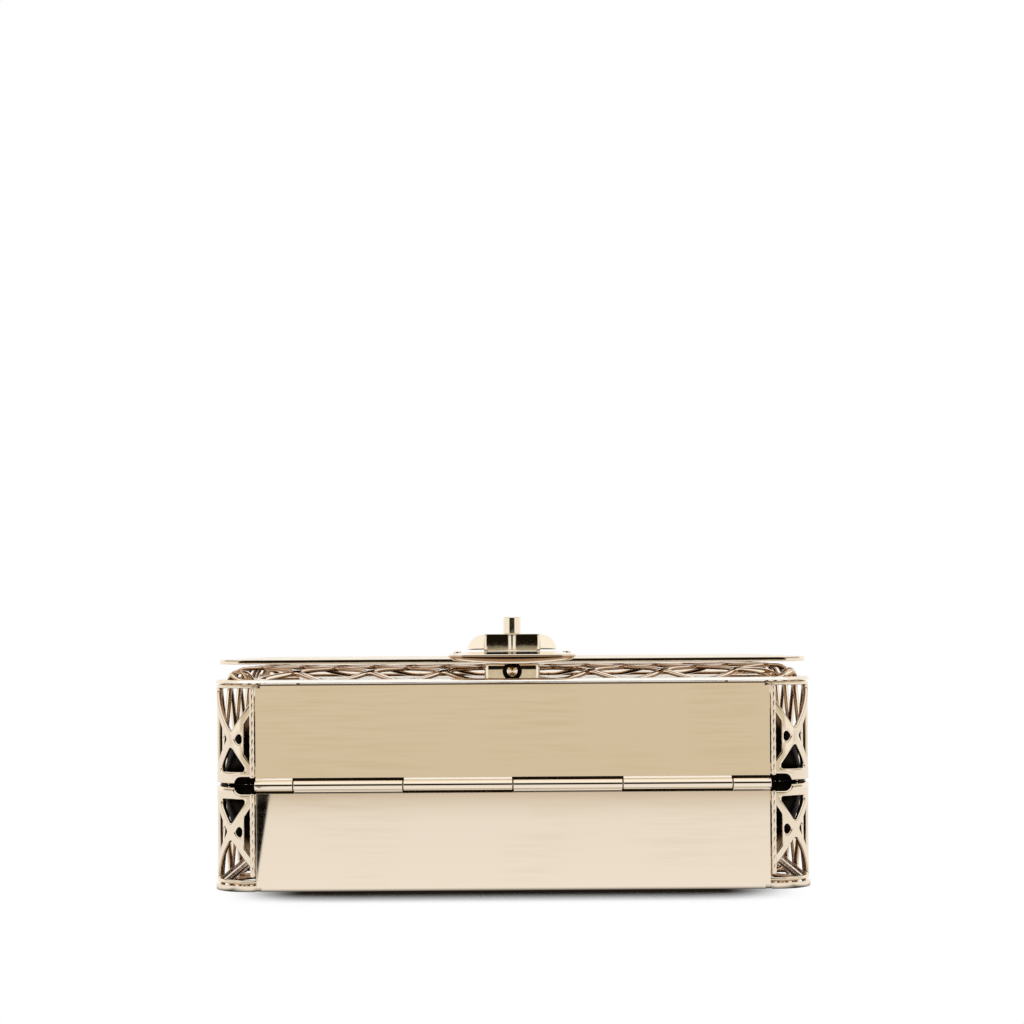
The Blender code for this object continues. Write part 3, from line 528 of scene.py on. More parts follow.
def clipped(polygon, line):
    """The part of a convex polygon that lies inward of a line."""
    found, tiny = [], 1e-8
    for start, end in sides_of(polygon):
        a, b = passed(start, line), passed(end, line)
        if a >= -tiny:
            found.append(start)
        if min(a, b) < -tiny and max(a, b) > tiny:
            found.append(tuple(s + (e - s) * a / (a - b) for s, e in zip(start, end)))
    kept = [here for index, here in enumerate(found) if math.dist(here, found[index - 1]) > 1e-7]
    return kept if len(kept) > 2 else []


def area_of(polygon):
    return sum(a[0] * b[1] - b[0] * a[1] for a, b in sides_of(polygon)) / 2


def distances(points, polygon):
    """How far each point lies outside a convex polygon, 0 within it, and how
    far it lies inside, both at the nearest side."""
    corners = np.asarray(polygon, float)
    side = np.roll(corners, -1, 0) - corners
    inward = np.stack([-side[:, 1], side[:, 0]], 1)
    inward /= np.maximum(np.linalg.norm(inward, axis=1), 1e-12)[:, None]
    away = points[..., None, :] - corners
    share = np.clip((away * side).sum(-1) / np.maximum((side**2).sum(1), 1e-16), 0, 1)
    least = np.linalg.norm(away - share[..., None] * side, axis=-1).min(-1)
    depth = (away * inward).sum(-1).min(-1)
    return np.where(depth >= 0, 0.0, least), depth


def opening_of(cell, borders):
    """A cell's opening less the reach of its round corners, and that reach,
    which is less in a small cell. Each side gives up its half strut, or the
    width of the border that it lies on: a rail, or half of a bar."""
    for radius in (opening_radius, opening_radius / 2, opening_radius / 4):
        opening = cell
        for side in sides_of(cell):
            held = [w for line, w in borders if max(abs(passed(p, line)) for p in side) < 1e-6]
            reach = (held[-1] if held else strut_width / 2) + radius
            start, normal = line_of(*side)
            edge = [at + along * reach for at, along in zip(start, normal)]
            opening = clipped(opening, (edge, normal))
        if opening and area_of(opening) > 4e-8:
            return opening, radius
    return None, 0


def lattice_cells(region, pitch, centre, rails, bars):
    """Each diamond of the pattern, cut to the region, with its opening."""
    borders = [(line_of(*side), rails[k % len(rails)]) for k, side in enumerate(sides_of(region))]
    spans = [
        range(math.floor((min(side) - c) / p) - 1, math.ceil((max(side) - c) / p) + 2)
        for side, c, p in zip(zip(*region), centre, pitch)
    ]
    half_u, half_v = pitch[0] / 2, pitch[1] / 2
    cells = []
    for i, j, half in itertools.product(*spans, (0, 0.5)):
        u, v = centre[0] + (i + half) * pitch[0], centre[1] + (j + half) * pitch[1]
        cell = [(u - half_u, v), (u, v - half_v), (u + half_u, v), (u, v + half_v)]
        for line, _ in borders:
            cell = clipped(cell, line)
        if not cell or area_of(cell) < 2e-8:
            continue
        ends = [point[0] for point in cell]
        hit = [bar for bar in bars if min(ends) + 0.001 < bar < max(ends) - 0.001]
        if hit and abs(v - centre[1]) < half_v / 4:
            for bar in (((hit[0], 0), (1, 0)), ((hit[0], 0), (-1, 0))):
                part = clipped(cell, bar)
                cells.append((part, opening_of(part, borders + [(bar, bar_width / 2)]), v))
        else:
            cells.append((cell, opening_of(cell, borders), v))
    return cells


def outline_points(cell, marks, row, pitch):
    """The cell's outline, close together at its corners. A neighbour divides a
    shared side at the same points; a mark whose level is below 0 is a bar's."""
    found = []
    for start, end in sides_of(cell):
        stops = [0.0, 1.0]
        for mark, level in marks if abs(end[0] - start[0]) >= 1e-9 else ():
            share = (mark - start[0]) / (end[0] - start[0])
            height = start[1] + (end[1] - start[1]) * share
            beside = level < 0 and abs(height - row) < pitch[1] / 2
            if 1e-6 < share < 1 - 1e-6 and (abs(height - level) < 1e-6 or beside):
                stops.append(share)
        stops.sort()
        for low, high in zip(stops, stops[1:]):
            length = (high - low) * math.dist(start, end)
            count = max(2, math.ceil(strut_steps * length / (math.hypot(*pitch) / 2)))
            even = np.arange(count) / count
            share = low + (high - low) * (0.375 * (1 - np.cos(math.pi * even)) + 0.25 * even)
            found.append(np.array(start) + np.subtract(end, start) * share[:, None])
    return np.concatenate(found)


def whole_faces(faces):
    """Quads, with those that have shrunk to a triangle given as one."""
    same = faces == np.roll(faces, 1, 1)
    good = faces[~same.any(1)].tolist()
    for face in faces[same.sum(1) == 1].tolist():
        kept = [corner for k, corner in enumerate(face) if corner != face[k - 1]]
        if len(set(kept)) == 3:
            good.append(kept)
    return good


def lifted(place, points):
    """Points of a sheet in space, each moved along the sheet's own normal."""
    step = 1e-5
    u, v, lift = points.T
    along_u = np.column_stack(place(u + step, v)) - np.column_stack(place(u - step, v))
    along_v = np.column_stack(place(u, v + step)) - np.column_stack(place(u, v - step))
    normal = np.cross(along_u, along_v)
    normal /= np.linalg.norm(normal, axis=1)[:, None]
    return np.column_stack(place(u, v)) + normal * lift[:, None]


def lattice(
    region, pitch, centre, rails, place, thickness, crown, bars=(), marks=(), squeeze=None
):
    """A lattice of struts. With d the distance to the nearest opening or outer
    edge, its front stands at half the thickness times the quarter circle
    sqrt(1 - (1 - d / crown)^2), and its back the same way behind. place(u, v)
    gives the middle of the sheet in space. Also how high each point lies."""
    points, quads, total = [], [], 0
    region = [tuple(corner) for corner in region]
    stops = [(bar, -1) for bar in bars] + list(marks)
    for cell, (core, radius), row in lattice_cells(region, pitch, centre, rails, bars):
        outer = outline_points(cell, stops, row, pitch)
        count = len(outer)
        if core is None:
            flat = outer + (outer.mean(0) - outer) * solid_shares[:, None, None]
            reach = np.full(flat.shape[:2], 1.0)
        else:
            middle = np.mean(core, axis=0)
            low, high = np.zeros(count), np.ones(count)
            for _ in range(edge_halvings):
                half = (low + high) / 2
                free = distances(middle + (outer - middle) * half[:, None], core)[0] < radius
                low, high = np.where(free, half, low), np.where(free, high, half)
            inner = middle + (outer - middle) * high[:, None]
            flat = outer + (inner - outer) * edge_shares[:, None, None]
            reach = distances(flat, core)[0] - radius
            reach[-1] = 0
        border = distances(flat, region)[1]
        share = np.clip(np.minimum(reach, border) / crown, 0, 1)
        lift = thickness / 2 * np.sqrt(1 - (1 - share) ** 2)
        if core is None:
            sheets = [(flat, lift, 1), (flat, -lift, -1)]
        else:
            back = np.concatenate([flat, flat[-2::-1]])
            sheets = [(back, np.concatenate([lift, -lift[-2::-1]]), 1)]
        for rows, lifts, order in sheets:
            points.append(np.column_stack([rows.reshape(-1, 2), lifts.ravel()]))
            quads.append(grid_faces(len(rows), count)[:, ::order] + total)
            total += lifts.size
    points = np.concatenate(points)
    key = np.round(points / weld_distance).astype(np.int64)
    _, first, where = np.unique(key, axis=0, return_index=True, return_inverse=True)
    points = points[first]
    crest = points[:, 2] / (thickness / 2)
    if squeeze is not None:
        points[:, :2] = squeeze(points[:, :2])
    return (lifted(place, points), whole_faces(where.ravel()[np.concatenate(quads)])), crest


panel_x, panel_y = half_x - rim_width - gap, half_y - rim_width - gap
panel_corner = corner_radius - rim_width - gap
panel_loop = rounded_loop(panel_x, -panel_y, panel_y, panel_corner, 4)
quilt_pitch = 0.0225
quilt_shift = 0.0015
cushion_rise = 0.0037
cushion_step = 0.0024
side_zone, side_step, side_dome = (0.0060, 0.0220), (0.0005, 0.0022), (0.0005, 0.0040)
end_step, end_step_less = (0.0025, 0.0180), (0.0021, 0.0135)
climb_less = 0.0300
rear_panel_low = gap + 0.00025


def s_curve(distance, start, end):
    share = np.clip((distance - start) / (end - start), 0, 1)
    return share * share * (3 - 2 * share)


def puffed(u, v):
    """The front panel: it steps up close to its sides and less steeply near
    its two ends, and from there it rises slowly to the middle of its length."""
    from_side, from_end = panel_x - np.abs(u), panel_y - np.abs(v)
    near_side = 1 - s_curve(from_side, *side_zone)
    start, end = (far - less * near_side for far, less in zip(end_step, end_step_less))
    step = cushion_step * s_curve(from_side, *side_step) * s_curve(from_end, start, end)
    climb = np.clip(from_end / (panel_y - climb_less * near_side), 0, 1)
    dome = np.sin(math.pi / 2 * climb) * s_curve(from_side, *side_dome)
    foot = front_rim_box[1].z - panel_thickness / 2
    return u, v, foot + step + (cushion_rise - cushion_step) * dome


def rear_flat(u, v):
    return -u, v, np.full_like(u, rear_panel_low + panel_thickness / 2)


def shaded_below_crest(x, y, z):
    """The lower parts of the struts, painted darker brown as shade."""
    crest = x.id_data.nodes.new("ShaderNodeAttribute")
    crest.attribute_name = "crest"
    return range_node(crest.outputs["Fac"], 0.80, 0.35, smooth=True)


def quilted(node, body, region, pitch, centre, place, thickness):
    """A panel of quilting, which is told how high each of its points lies."""
    solid, crest = lattice(region, pitch, centre, [rail_width], place, thickness, quilt_crown)
    made = add_piece(node, "lattice", solid, quilt_gold, body, flats=False)
    told = made.data.attributes.new("crest", "FLOAT", "POINT")
    told.data.foreach_set("value", crest.astype(np.float32))


quilt_gold = gold("quilt_gold", (0.94, 0.84, 0.70), *cast[1:])
# The struts' lower parts are painted brown as shade.
toned(quilt_gold, shaded_below_crest, (0.55, 0.33, 0.18), 0.12)
for side, place in (("front", puffed), ("rear", rear_flat)):
    node, body = f"{side}_panel", f"{side}_shell"
    pitch, centre = (quilt_pitch, panel_y / 2), (quilt_shift, -panel_y)
    quilted(node, body, panel_loop, pitch, centre, place, panel_thickness)


# Gussets. Two bent strips of the same casting close each side of the bag; they
# part at the seam, where a pocket leaves room for the end of the hinge.
seam_z = 0.0316
gusset_set_in, path_set_in = 0.0005, 0.00025
gusset_radius = corner_radius - gusset_set_in
gusset_flat_x = half_x - gusset_set_in - gusset_radius
gusset_half_y = half_y - plate_thickness - gap - path_set_in
gusset_arc = math.pi / 2 * gusset_radius
gusset_side = 2 * (gusset_half_y - gusset_radius)
gusset_length = 2 * gusset_arc + gusset_side
gusset_first = 0.56 * gusset_radius
gusset_pitch = (gusset_length - 2 * gusset_first) / 5
gusset_slope = 1.40
gusset_waist = 0.44 * seam_z
gusset_past = 0.0038
gusset_thickness, gusset_crown = 0.0015, 0.00050
seam_low = 0.00025
seam_band = 0.0039
band_top = seam_low + seam_band
pocket_half = 0.0024
pocket_end_x = 0.08355
wall_back, wall_thickness = 0.0020, 0.0006
wall_end, wall_least = 0.0128, 0.0040
wall_feet = {1: 0.0003, -1: -0.0002}


def along_gusset(u):
    """The strip's path in plan: along the bottom, round a corner, up the side,
    round the other corner and along the top; and the way out of it."""
    low_turn = np.clip(u / gusset_radius, 0, math.pi / 2)
    high_turn = np.clip((u - gusset_arc - gusset_side) / gusset_radius, 0, math.pi / 2)
    angle = -math.pi / 2 + low_turn + high_turn
    climb = np.clip(u - gusset_arc, 0, gusset_side)
    x = gusset_flat_x + gusset_radius * np.cos(angle)
    x += np.minimum(u, 0) - np.maximum(u - gusset_length, 0)
    y = -gusset_half_y + gusset_radius + climb + gusset_radius * np.sin(angle)
    return x, y, np.cos(angle), np.sin(angle)


def gusset_place(side_x, side_z):
    """Where the strip lies; a mirrored one is walked the other way round."""

    def place(u, v):
        x, y, out_x, out_y = along_gusset(u if side_x * side_z > 0 else gusset_length - u)
        middle = gusset_thickness / 2 - path_set_in
        return side_x * (x - out_x * middle), y - out_y * middle, seam_z + side_z * v

    return place


pocket_end_share = (pocket_end_x - gusset_flat_x) / gusset_radius
pocket_flat = gusset_radius * math.asin(pocket_end_share - pocket_half / gusset_radius)
pocket_end = gusset_radius * math.asin(pocket_end_share)


def beside_pocket(flat):
    """Squeezes the band by the seam so that its edge runs round the pocket: a
    straight side, and then a half circle of the pocket's half height."""
    u, v = flat.T
    from_end = np.minimum(u, gusset_length - u)
    share = np.clip((from_end - pocket_flat) / (pocket_end - pocket_flat), 0, 1)
    edge = np.maximum(pocket_half * np.sqrt(1 - share**2), seam_low)
    moved = edge + (v - seam_low) * (band_top - edge) / (band_top - seam_low)
    return np.column_stack([u, np.where(v < band_top, moved, v)])


def span_of(first, second):
    """The distance whose legs are given, the root of the sum of their squares."""
    squares = value_node("MULTIPLY_ADD", second, second, times(first, first))
    return value_node("SQRT", squares)


def inner_side(x, y, z):
    """The bent strip's inner side, behind its outer face."""
    over_x = value_node("MAXIMUM", beyond(x, gusset_flat_x), 0.0)
    over_y = value_node("MAXIMUM", beyond(y, gusset_half_y - gusset_radius), 0.0)
    return range_node(span_of(over_x, over_y), gusset_radius - 0.0004, gusset_radius - 0.0008)


def shaded_beside_seam(x, y, z):
    """The inner side near the seam, painted near black as the shade deep inside the bag."""
    away = value_node("ABSOLUTE", value_node("SUBTRACT", z, seam_z))
    return times(inner_side(x, y, z), range_node(away, 0.021, 0.015))


gusset_gold = gold("gusset_gold", *cast)
# The strip's inner side is painted brown as the shade inside the bag.
toned(gusset_gold, inner_side, (0.50, 0.31, 0.18), 0.25)
# Near the seam the inner side is painted near black as shade.
toned(gusset_gold, shaded_beside_seam, (0.012, 0.008, 0.005), 0.5)


def pocket_shade_wall(side_x, side_z, far):
    """A dark sheet behind each end of the strip, which stands in for the shade
    inside the bag: a thin slab that follows it 2 mm behind its middle. Its top
    runs straight down behind one strut, from the plate to the band:
    v = waist - slope (u - first crossing)."""
    u = np.linspace(-gusset_past, wall_end, 32)
    top = np.maximum(gusset_waist - gusset_slope * (u - gusset_first), wall_least)
    low = wall_feet[side_z]
    x, y, out_x, out_y = along_gusset(gusset_length - u if far else u)
    behind = wall_back + wall_thickness
    rows = []
    for level, back in ((low, behind), (top, behind), (top, wall_back), (low, wall_back)):
        z = seam_z + side_z * level + 0 * u
        rows.append(np.stack([side_x * (x - out_x * back), y - out_y * back, z], 1))
    loops = list(np.stack(rows, 1))
    return lofted(loops[::-1] if far == (side_x * side_z > 0) else loops)


pocket_turns = np.sin(np.radians([0, 20, 38, 54, 66, 76, 84, 90]))
pocket_marks = [pocket_flat + (pocket_end - pocket_flat) * turn for turn in pocket_turns]
pocket_marks += [gusset_length - mark for mark in pocket_marks]
waist_bar = gusset_first - 0.40 * gusset_radius
gusset_bars = (waist_bar, gusset_arc, gusset_length - gusset_arc, gusset_length - waist_bar)
for shell, side_z, high in (("front", 1, 0.0303), ("rear", -1, 0.0295)):
    for side, side_x in (("left", -1), ("right", 1)):
        strip, _ = lattice(
            rectangle((-gusset_past, gusset_length + gusset_past), (seam_low, high)),
            (gusset_pitch, gusset_slope * gusset_pitch),
            (gusset_first + gusset_pitch / 2, gusset_waist),
            [seam_band, rail_width, rail_width, rail_width],
            gusset_place(side_x, side_z),
            gusset_thickness,
            gusset_crown,
            bars=gusset_bars,
            marks=[(mark, seam_low) for mark in pocket_marks],
            squeeze=beside_pocket,
        )
        strip = joined(strip, *[pocket_shade_wall(side_x, side_z, end) for end in (False, True)])
        node, body = f"{shell}_gusset_{side}", f"{shell}_shell"
        add_piece(node, "lattice", strip, gusset_gold, body, flats=False)


# Plates. A rolled sheet closes the bottom and the top of each shell, brushed
# lengthwise; its inner face is painted dark as shade, and the top's inner face
# next to the front ring pale and glowing as light.
notch_length = 0.0014
notch_height = 0.0011
table_clear = 0.00003


def inner_face(x, y, z):
    return range_node(value_node("ABSOLUTE", y), half_y - 0.0006, half_y - 0.0009)


def pale_border(x, y, z):
    """The inner face of the top, next to the front ring, painted pale and glowing as the light that
    reaches it.
    """
    high = times(range_node(z, 0.0560, 0.0585), range_node(y, 0.0, 0.001))
    return times(high, inner_face(x, y, z))


def shaded_edge(x, y, z):
    """The edge next to the front ring, painted dark brown as the shade in the gap between it and
    the ring.
    """
    below = range_node(y, -half_y + 0.0012, -half_y + 0.0010)
    return times(range_node(z, 0.06135, 0.06155), below)


def brushed(x, y, z):
    """Long streaks of the brush, thin in height, in softly bounded patches."""
    masks = []
    layers = ((900, 3, 0.05, 0.72, False), (28, 2, 1.0, 0.66, True))
    for scale, detail, stretch, high, soft in layers:
        place = x.id_data.nodes.new("ShaderNodeCombineXYZ")
        for socket, given in zip(place.inputs, (times(x, stretch), y, z)):
            link(given, socket)
        noise = x.id_data.nodes.new("ShaderNodeTexNoise")
        noise.inputs["Scale"].default_value = scale
        noise.inputs["Detail"].default_value = detail
        link(place.outputs[0], noise.inputs["Vector"])
        masks.append(range_node(noise.outputs["Fac"], 0.42, high, soft))
    return times(masks[0], 0.55, masks[1])


# Inner faces are painted near black as the shade inside the bag.
painted_shade_inside = ((0.030, 0.020, 0.012), 0.45)
plate_gold = gold(
    "plate_gold", cast[0], (0.92, 0.80, 0.64), 0.015, 0.03, 40.0, 0.0000012, 700.0, (0.02, 1, 1)
)
toned(plate_gold, brushed, (0.83, 0.70, 0.53))
toned(plate_gold, inner_face, *painted_shade_inside)
toned(plate_gold, shaded_edge, (0.22, 0.14, 0.08), 0.2)
# The top's inner border next to the front ring is painted pale and glowing as light.
painted_glow(plate_gold, pale_border)


def plate_outline(low, high, notch):
    """The plate seen from the bottom, stepped in beside the rim where notch is
    1 at its high edge and -1 at its low one."""
    inner = plate_half - notch_length
    right = [(plate_half, low), (plate_half, high)]
    if notch > 0:
        step = high - notch_height
        right[1:] = [(plate_half, step), (inner, step), (inner, high)]
    elif notch < 0:
        step = low + notch_height
        right[:1] = [(inner, low), (inner, step), (plate_half, step)]
    return np.array(right + [(-x, z) for x, z in right[::-1]])


for shell, side, notch in (
    ("front", "bottom", 1),
    ("rear", "bottom", -1),
    ("front", "top", 1),
    ("rear", "top", 0),
):
    node = f"{shell}_{side}_plate"
    low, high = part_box(node)
    foot = table_clear if notch < 0 else low.z
    sheet = slab(plate_outline(foot, high.z, notch), low.y, high.y, facing="Y")
    add_piece(node, "sheet", sheet, plate_gold, f"{shell}_shell")


# Ropes. A cord of twisted wire is soldered down each end of the bottom, where
# the plate meets the gusset.
rope_radius = 0.00075
rope_pitch = 0.0027
rope_x, rope_y = 0.07775, -0.0574
rope_row, rope_sides, rope_taper = 0.00012, 36, 0.0003


def rope(x, low, high):
    """Three wires twisted together: at height z and angle a the surface lies at
    radius * (0.91 + 0.09 |cos(1.5 a - pi z / pitch)|^0.8)."""
    z = np.linspace(low, high, round((high - low) / rope_row) + 1)[:, None]
    a = (np.arange(rope_sides) * 2 * math.pi / rope_sides)[None]
    lobe = np.abs(np.cos(1.5 * a - math.pi * z / rope_pitch)) ** 0.8
    end = np.clip(np.minimum(z - low, high - z) / rope_taper, 0, 1)
    reach = rope_radius * (0.91 + 0.09 * lobe) * (0.55 + 0.45 * np.sqrt(end))
    points = np.stack([x + reach * np.cos(a), rope_y + reach * np.sin(a), z + 0 * a], 2)
    return lofted(list(points))


rope_gold = gold("rope_gold", (0.94, 0.84, 0.70), cast[1], 0.16, 0.26, 200.0, 0.00001)
for shell, low, high in (("front", 0.0339, 0.0608), ("rear", 0.0043, 0.0293)):
    for side, side_x in (("left", -1), ("right", 1)):
        twisted = rope(side_x * rope_x, low, high)
        node, body = f"{shell}_rope_{side}", f"{shell}_shell"
        add_piece(node, "wire", twisted, rope_gold, body, flats=False)


# Hinges. Each leaf is rolled round the pin in three knuckles; the flange of an
# inside leaf is riveted behind its plate, and the flap's leaf lies outside.
hinge_y = 0.0580
barrel_radius = 0.00155
pin_radius = 0.0005
knuckle_reach = 0.0770
knuckle_shares = (-1.0, -0.85, -0.425, 0.0, 0.425, 0.85, 1.0)
knuckle_edge = 0.00016
leaf_near, leaf_far, leaf_low, leaf_high = 0.0018, 0.0028, 0.0015, 0.0123
flange_flush, flange_low, flange_high = 0.0005, 0.0008, 0.00228
flap_leaf_half, flap_leaf_y, flap_leaf_lift = 0.0729, 0.0594, 0.00205
flap_leaf_high, web_high = 0.0393, 0.0345
hinge_gold = gold(
    "hinge_gold", (0.94, 0.84, 0.70), (0.92, 0.80, 0.64), 0.03, 0.06, 90.0, 0.000008
)
# The leaf's inner face is painted near black as shade.
toned(hinge_gold, inner_face, *painted_shade_inside)


def knuckle_outline(inward, side):
    """The barrel's circle with a flange that leaves it at right angles to the
    seam, behind the axis; inward and side are 1 or -1."""
    start = math.asin(flange_low / barrel_radius)
    end = math.acos(flange_flush / barrel_radius) - 2 * math.pi
    turn = np.linspace(start, end, 56)
    barrel = barrel_radius * np.stack([np.cos(turn), np.sin(turn)], 1)
    flange = [(flange_flush, flange_high), (leaf_far, flange_high)]
    loop = np.concatenate([[(leaf_far, flange_low)], barrel, flange]) * (inward, side)
    return loop if inward * side < 0 else loop[::-1]


def knuckle(index, outline, steps=5):
    """One knuckle of the six, with half the gap left free at each end."""
    start, end = (share * knuckle_reach for share in knuckle_shares[index : index + 2])
    return slab(outline, start + gap / 2, end - gap / 2, knuckle_edge, "X", steps)


for node, body, indices, axis_y, side in (
    ("front_hinge_leaf", "front_shell", (0, 2, 4), -hinge_y, 1),
    ("rear_hinge_leaf", "rear_shell", (1, 3, 5), -hinge_y, -1),
    ("rear_flap_leaf", "rear_shell", (0, 2, 4), hinge_y, -1),
):
    inward = 1 if axis_y < 0 else -1
    us = [axis_y + inward * reach for reach in (leaf_near, leaf_far)]
    vs = [seam_z + side * reach for reach in (leaf_low, leaf_high)]
    ends = knuckle_reach - gap
    leaf = slab(rectangle(us, vs), -ends, ends, facing="X")
    outline = knuckle_outline(inward, side) + (axis_y, seam_z)
    rolled = joined(leaf, *[knuckle(index, outline) for index in indices])
    add_piece(node, "rolled", rolled, hinge_gold, body)
outside = rectangle((hinge_y, flap_leaf_y), (seam_z, flap_leaf_high)) + (0, flap_leaf_lift)
parts = [slab(outside, -flap_leaf_half, flap_leaf_half, 0.00020, "X")]
web = rectangle((hinge_y, flap_leaf_y), (seam_z, web_high))
for index in (1, 3, 5):
    parts.append(knuckle(index, circle_loop(hinge_y, seam_z, barrel_radius, 56)))
    parts.append(knuckle(index, web, steps=4))
add_piece("flap_hinge_leaf", "rolled", joined(*parts), hinge_gold, "flap")
# The pins are painted near black, as the shade in the gaps between the knuckles.
shaded_pin = gold(
    "shaded_pin", (0.06, 0.05, 0.04), (0.04, 0.03, 0.02), 0.25, 0.35, 90.0, 0.000004
)
for node, axis_y in (("bottom_hinge_pin", -hinge_y), ("top_hinge_pin", hinge_y)):
    circle = circle_loop(axis_y, seam_z, pin_radius, 24)
    pin = slab(circle, -knuckle_reach, knuckle_reach, facing="X")
    add_piece(node, "wire", pin, shaded_pin, "rear_shell")


# Flap. A stamped frame, bent down over the top of the bag, holds openwork of
# the same quilting, flat here, in one wide field and two beside the lock.
flap_low, flap_high = 0.0678, 0.0692
flap_x, flap_edge_y, flap_turn_y, flap_corner = 0.0890, -0.0530, 0.0550, 0.0088
flap_outer_y = 0.0594
window_x, window_low, window_high, window_corner = 0.0858, -0.0509, 0.0518, 0.0028
frame_draw, frame_rise = 0.00024, 0.00092
wing_low, wing_thickness, wing_chamfer, wing_round = 0.0396, 0.0014, 0.0003, 0.0005
bend_inside, bend_outside = 0.0030, 0.0044
bend_y, bend_z = flap_outer_y - bend_outside, flap_high - bend_outside


def round_ended(x, low, high, corner):
    """A rectangle whose two low corners are round; a short side ends it."""
    right = quarter(x - corner, low + corner, corner, -90, 12)
    left = quarter(-x + corner, low + corner, corner, 180, 12)
    straight = [(x, high - 0.0002), (x, high), (-x, high), (-x, high - 0.0002)]
    return np.concatenate([right, straight, left])


flap_loop = round_ended(flap_x, flap_edge_y, flap_turn_y, flap_corner)
frame_flat = ring(
    flap_loop,
    round_ended(window_x, window_low, window_high, window_corner),
    flap_low,
    flap_high,
    frame_draw,
    steps=10,
    shares=np.where(flap_loop[:, 1] > flap_turn_y - 1e-6, 0.0, 1.0),
    top_rise=frame_rise,
)


def bent_wing():
    """The frame past the window: a quarter turn of 3 mm inside radius and a
    straight wing. Each row is the wing's section, drawn in at both ends."""
    inner_y, chamfer_z = flap_outer_y - wing_thickness, wing_low + wing_chamfer
    outline = np.concatenate(
        [
            [(flap_turn_y, flap_low)],
            quarter(bend_y, bend_z, bend_inside, 0, 10)[-2::-1],
            [(inner_y, chamfer_z), (inner_y + wing_chamfer, wing_low)],
            [(flap_outer_y - wing_chamfer, wing_low), (flap_outer_y, chamfer_z)],
            quarter(bend_y, bend_z, bend_outside, 0, 12),
        ]
    )
    held = np.where(outline[:, 0] < flap_turn_y + 1e-6, 0.0, 1.0)
    draw, rise, _ = rounding(wing_round, 6, None)
    ends = [*zip(draw, -flap_x + rise), *zip(draw[::-1], flap_x - rise[::-1])]
    return lofted([in_space(inset(outline, d * held), x, "X") for d, x in ends], "X")


def under_bend(x, y, z):
    """The inside of the bend, painted pale and glowing as light."""
    over_y = value_node("SUBTRACT", y, bend_y)
    over_z = value_node("MAXIMUM", value_node("SUBTRACT", z, bend_z), 0.0)
    inside = range_node(span_of(over_z, over_y), 0.0037, 0.0035)
    return times(inside, range_node(over_y, 0.0, 0.0003))


flap_gold = gold("flap_gold", *cast)
# The inside of the bend is painted pale and glowing as light.
painted_glow(flap_gold, under_bend)
add_piece("flap_frame", "bent", joined(frame_flat, bent_wing()), flap_gold, "flap")

field_x, field_low, field_high = 0.0855, -0.0506, 0.0515
field_cut = 0.0025
field_pitch = (quilt_pitch, (field_high - field_low) / 4)
seat_far = field_low + field_pitch[1] - gap / 2
seat_half = 0.0185
seat_clear = seat_half + gap
wide_field = rectangle((-field_x, field_x), (seat_far + gap, field_high))
right_field = [
    (seat_clear, field_low),
    (field_x - field_cut, field_low),
    (field_x, field_low + field_cut),
    (field_x, seat_far),
    (seat_clear, seat_far),
]
left_field = [(-x, y) for x, y in right_field[::-1]]


def flap_level(u, v):
    return u, v, np.full_like(u, (flap_low + flap_high) / 2)


thickness = flap_high - flap_low - 0.0001
centre = (0, field_low)
for node, region in (
    ("flap_panel", wide_field),
    ("flap_field_right", right_field),
    ("flap_field_left", left_field),
):
    quilted(node, "flap", region, field_pitch, centre, flap_level, thickness)

slot_x, slot_low, slot_high, slot_corner = 0.0141, -0.0509, -0.0359, 0.0035


def seat_outline():
    """A plate open toward the lower border of the flap: the slot's far half is
    rounded, and its two legs run down beside it."""
    right = [(slot_x, field_low), (seat_half, field_low), (seat_half, seat_far)]
    left = [(-x, y) for x, y in right[::-1]]
    turn_x, turn_y = slot_x - slot_corner, slot_high - slot_corner
    far = [quarter(-turn_x, turn_y, slot_corner, 90, 8), quarter(turn_x, turn_y, slot_corner, 0, 8)]
    return np.concatenate([right, left] + [arc[::-1] for arc in far])


seat = slab(seat_outline(), flap_low, flap_high)
add_piece("lock_seat", "plate", seat, cast_gold, "flap")


# Lock plate. A stamped, slotted plate with a turned-down lip lies on the flap
# and is held by two small screws.
lock_finish = ((0.94, 0.84, 0.69), (0.91, 0.79, 0.62), 0.03, 0.07, 110.0, 0.00001)
lock_gold = gold("lock_gold", *lock_finish)
plate_x, plate_low, plate_high, plate_corner = 0.0193, -0.0565, -0.0303, 0.0060
plate_under, plate_top = 0.0695, 0.0704
slot_y, slot_half_y = (slot_low + slot_high) / 2, (slot_high - slot_low) / 2
slot_border, slot_rise = 0.0006, 0.0007
lip_y, lip_lowest, lip_arch, lip_swell = -0.0533, 0.0676, 0.0014, 0.0005
screw_x, screw_radius = 0.0167, 0.0012


def lip_middle(x, y, z):
    """The lip's face between its bright foot and its bright upper border, painted brown as shade.
    """
    foot = value_node("MULTIPLY_ADD", times(x, x), lip_arch / plate_x**2, lip_lowest)
    over = range_node(value_node("SUBTRACT", z, foot), 0.0004, 0.0006)
    under = range_node(z, 0.0700, 0.0698)
    return times(over, under, range_node(y, lip_y + 0.0001, lip_y - 0.0001))


lip_gold = gold("lip_gold", *lock_finish)
# The lip's face is painted brown as shade.
toned(lip_gold, lip_middle, (0.40, 0.24, 0.13), 0.12)
loop = rounded_loop(plate_x, plate_low, plate_high, plate_corner, 16)
slot_loop = rounded_loop(slot_x, slot_low, slot_high, slot_corner, 16)
face_plate = ring(loop, slot_loop, plate_under, plate_top, 0.00035, steps=6)
# The press has raised the metal round the slot.
points = face_plate[0]
out = np.maximum(np.abs(points[:, :2] - (0, slot_y)) - (slot_x, slot_half_y), 0)
raised = (points[:, 2] > plate_top - 0.00040) & (np.hypot(*out.T) < slot_border)
points[raised, 2] += slot_rise


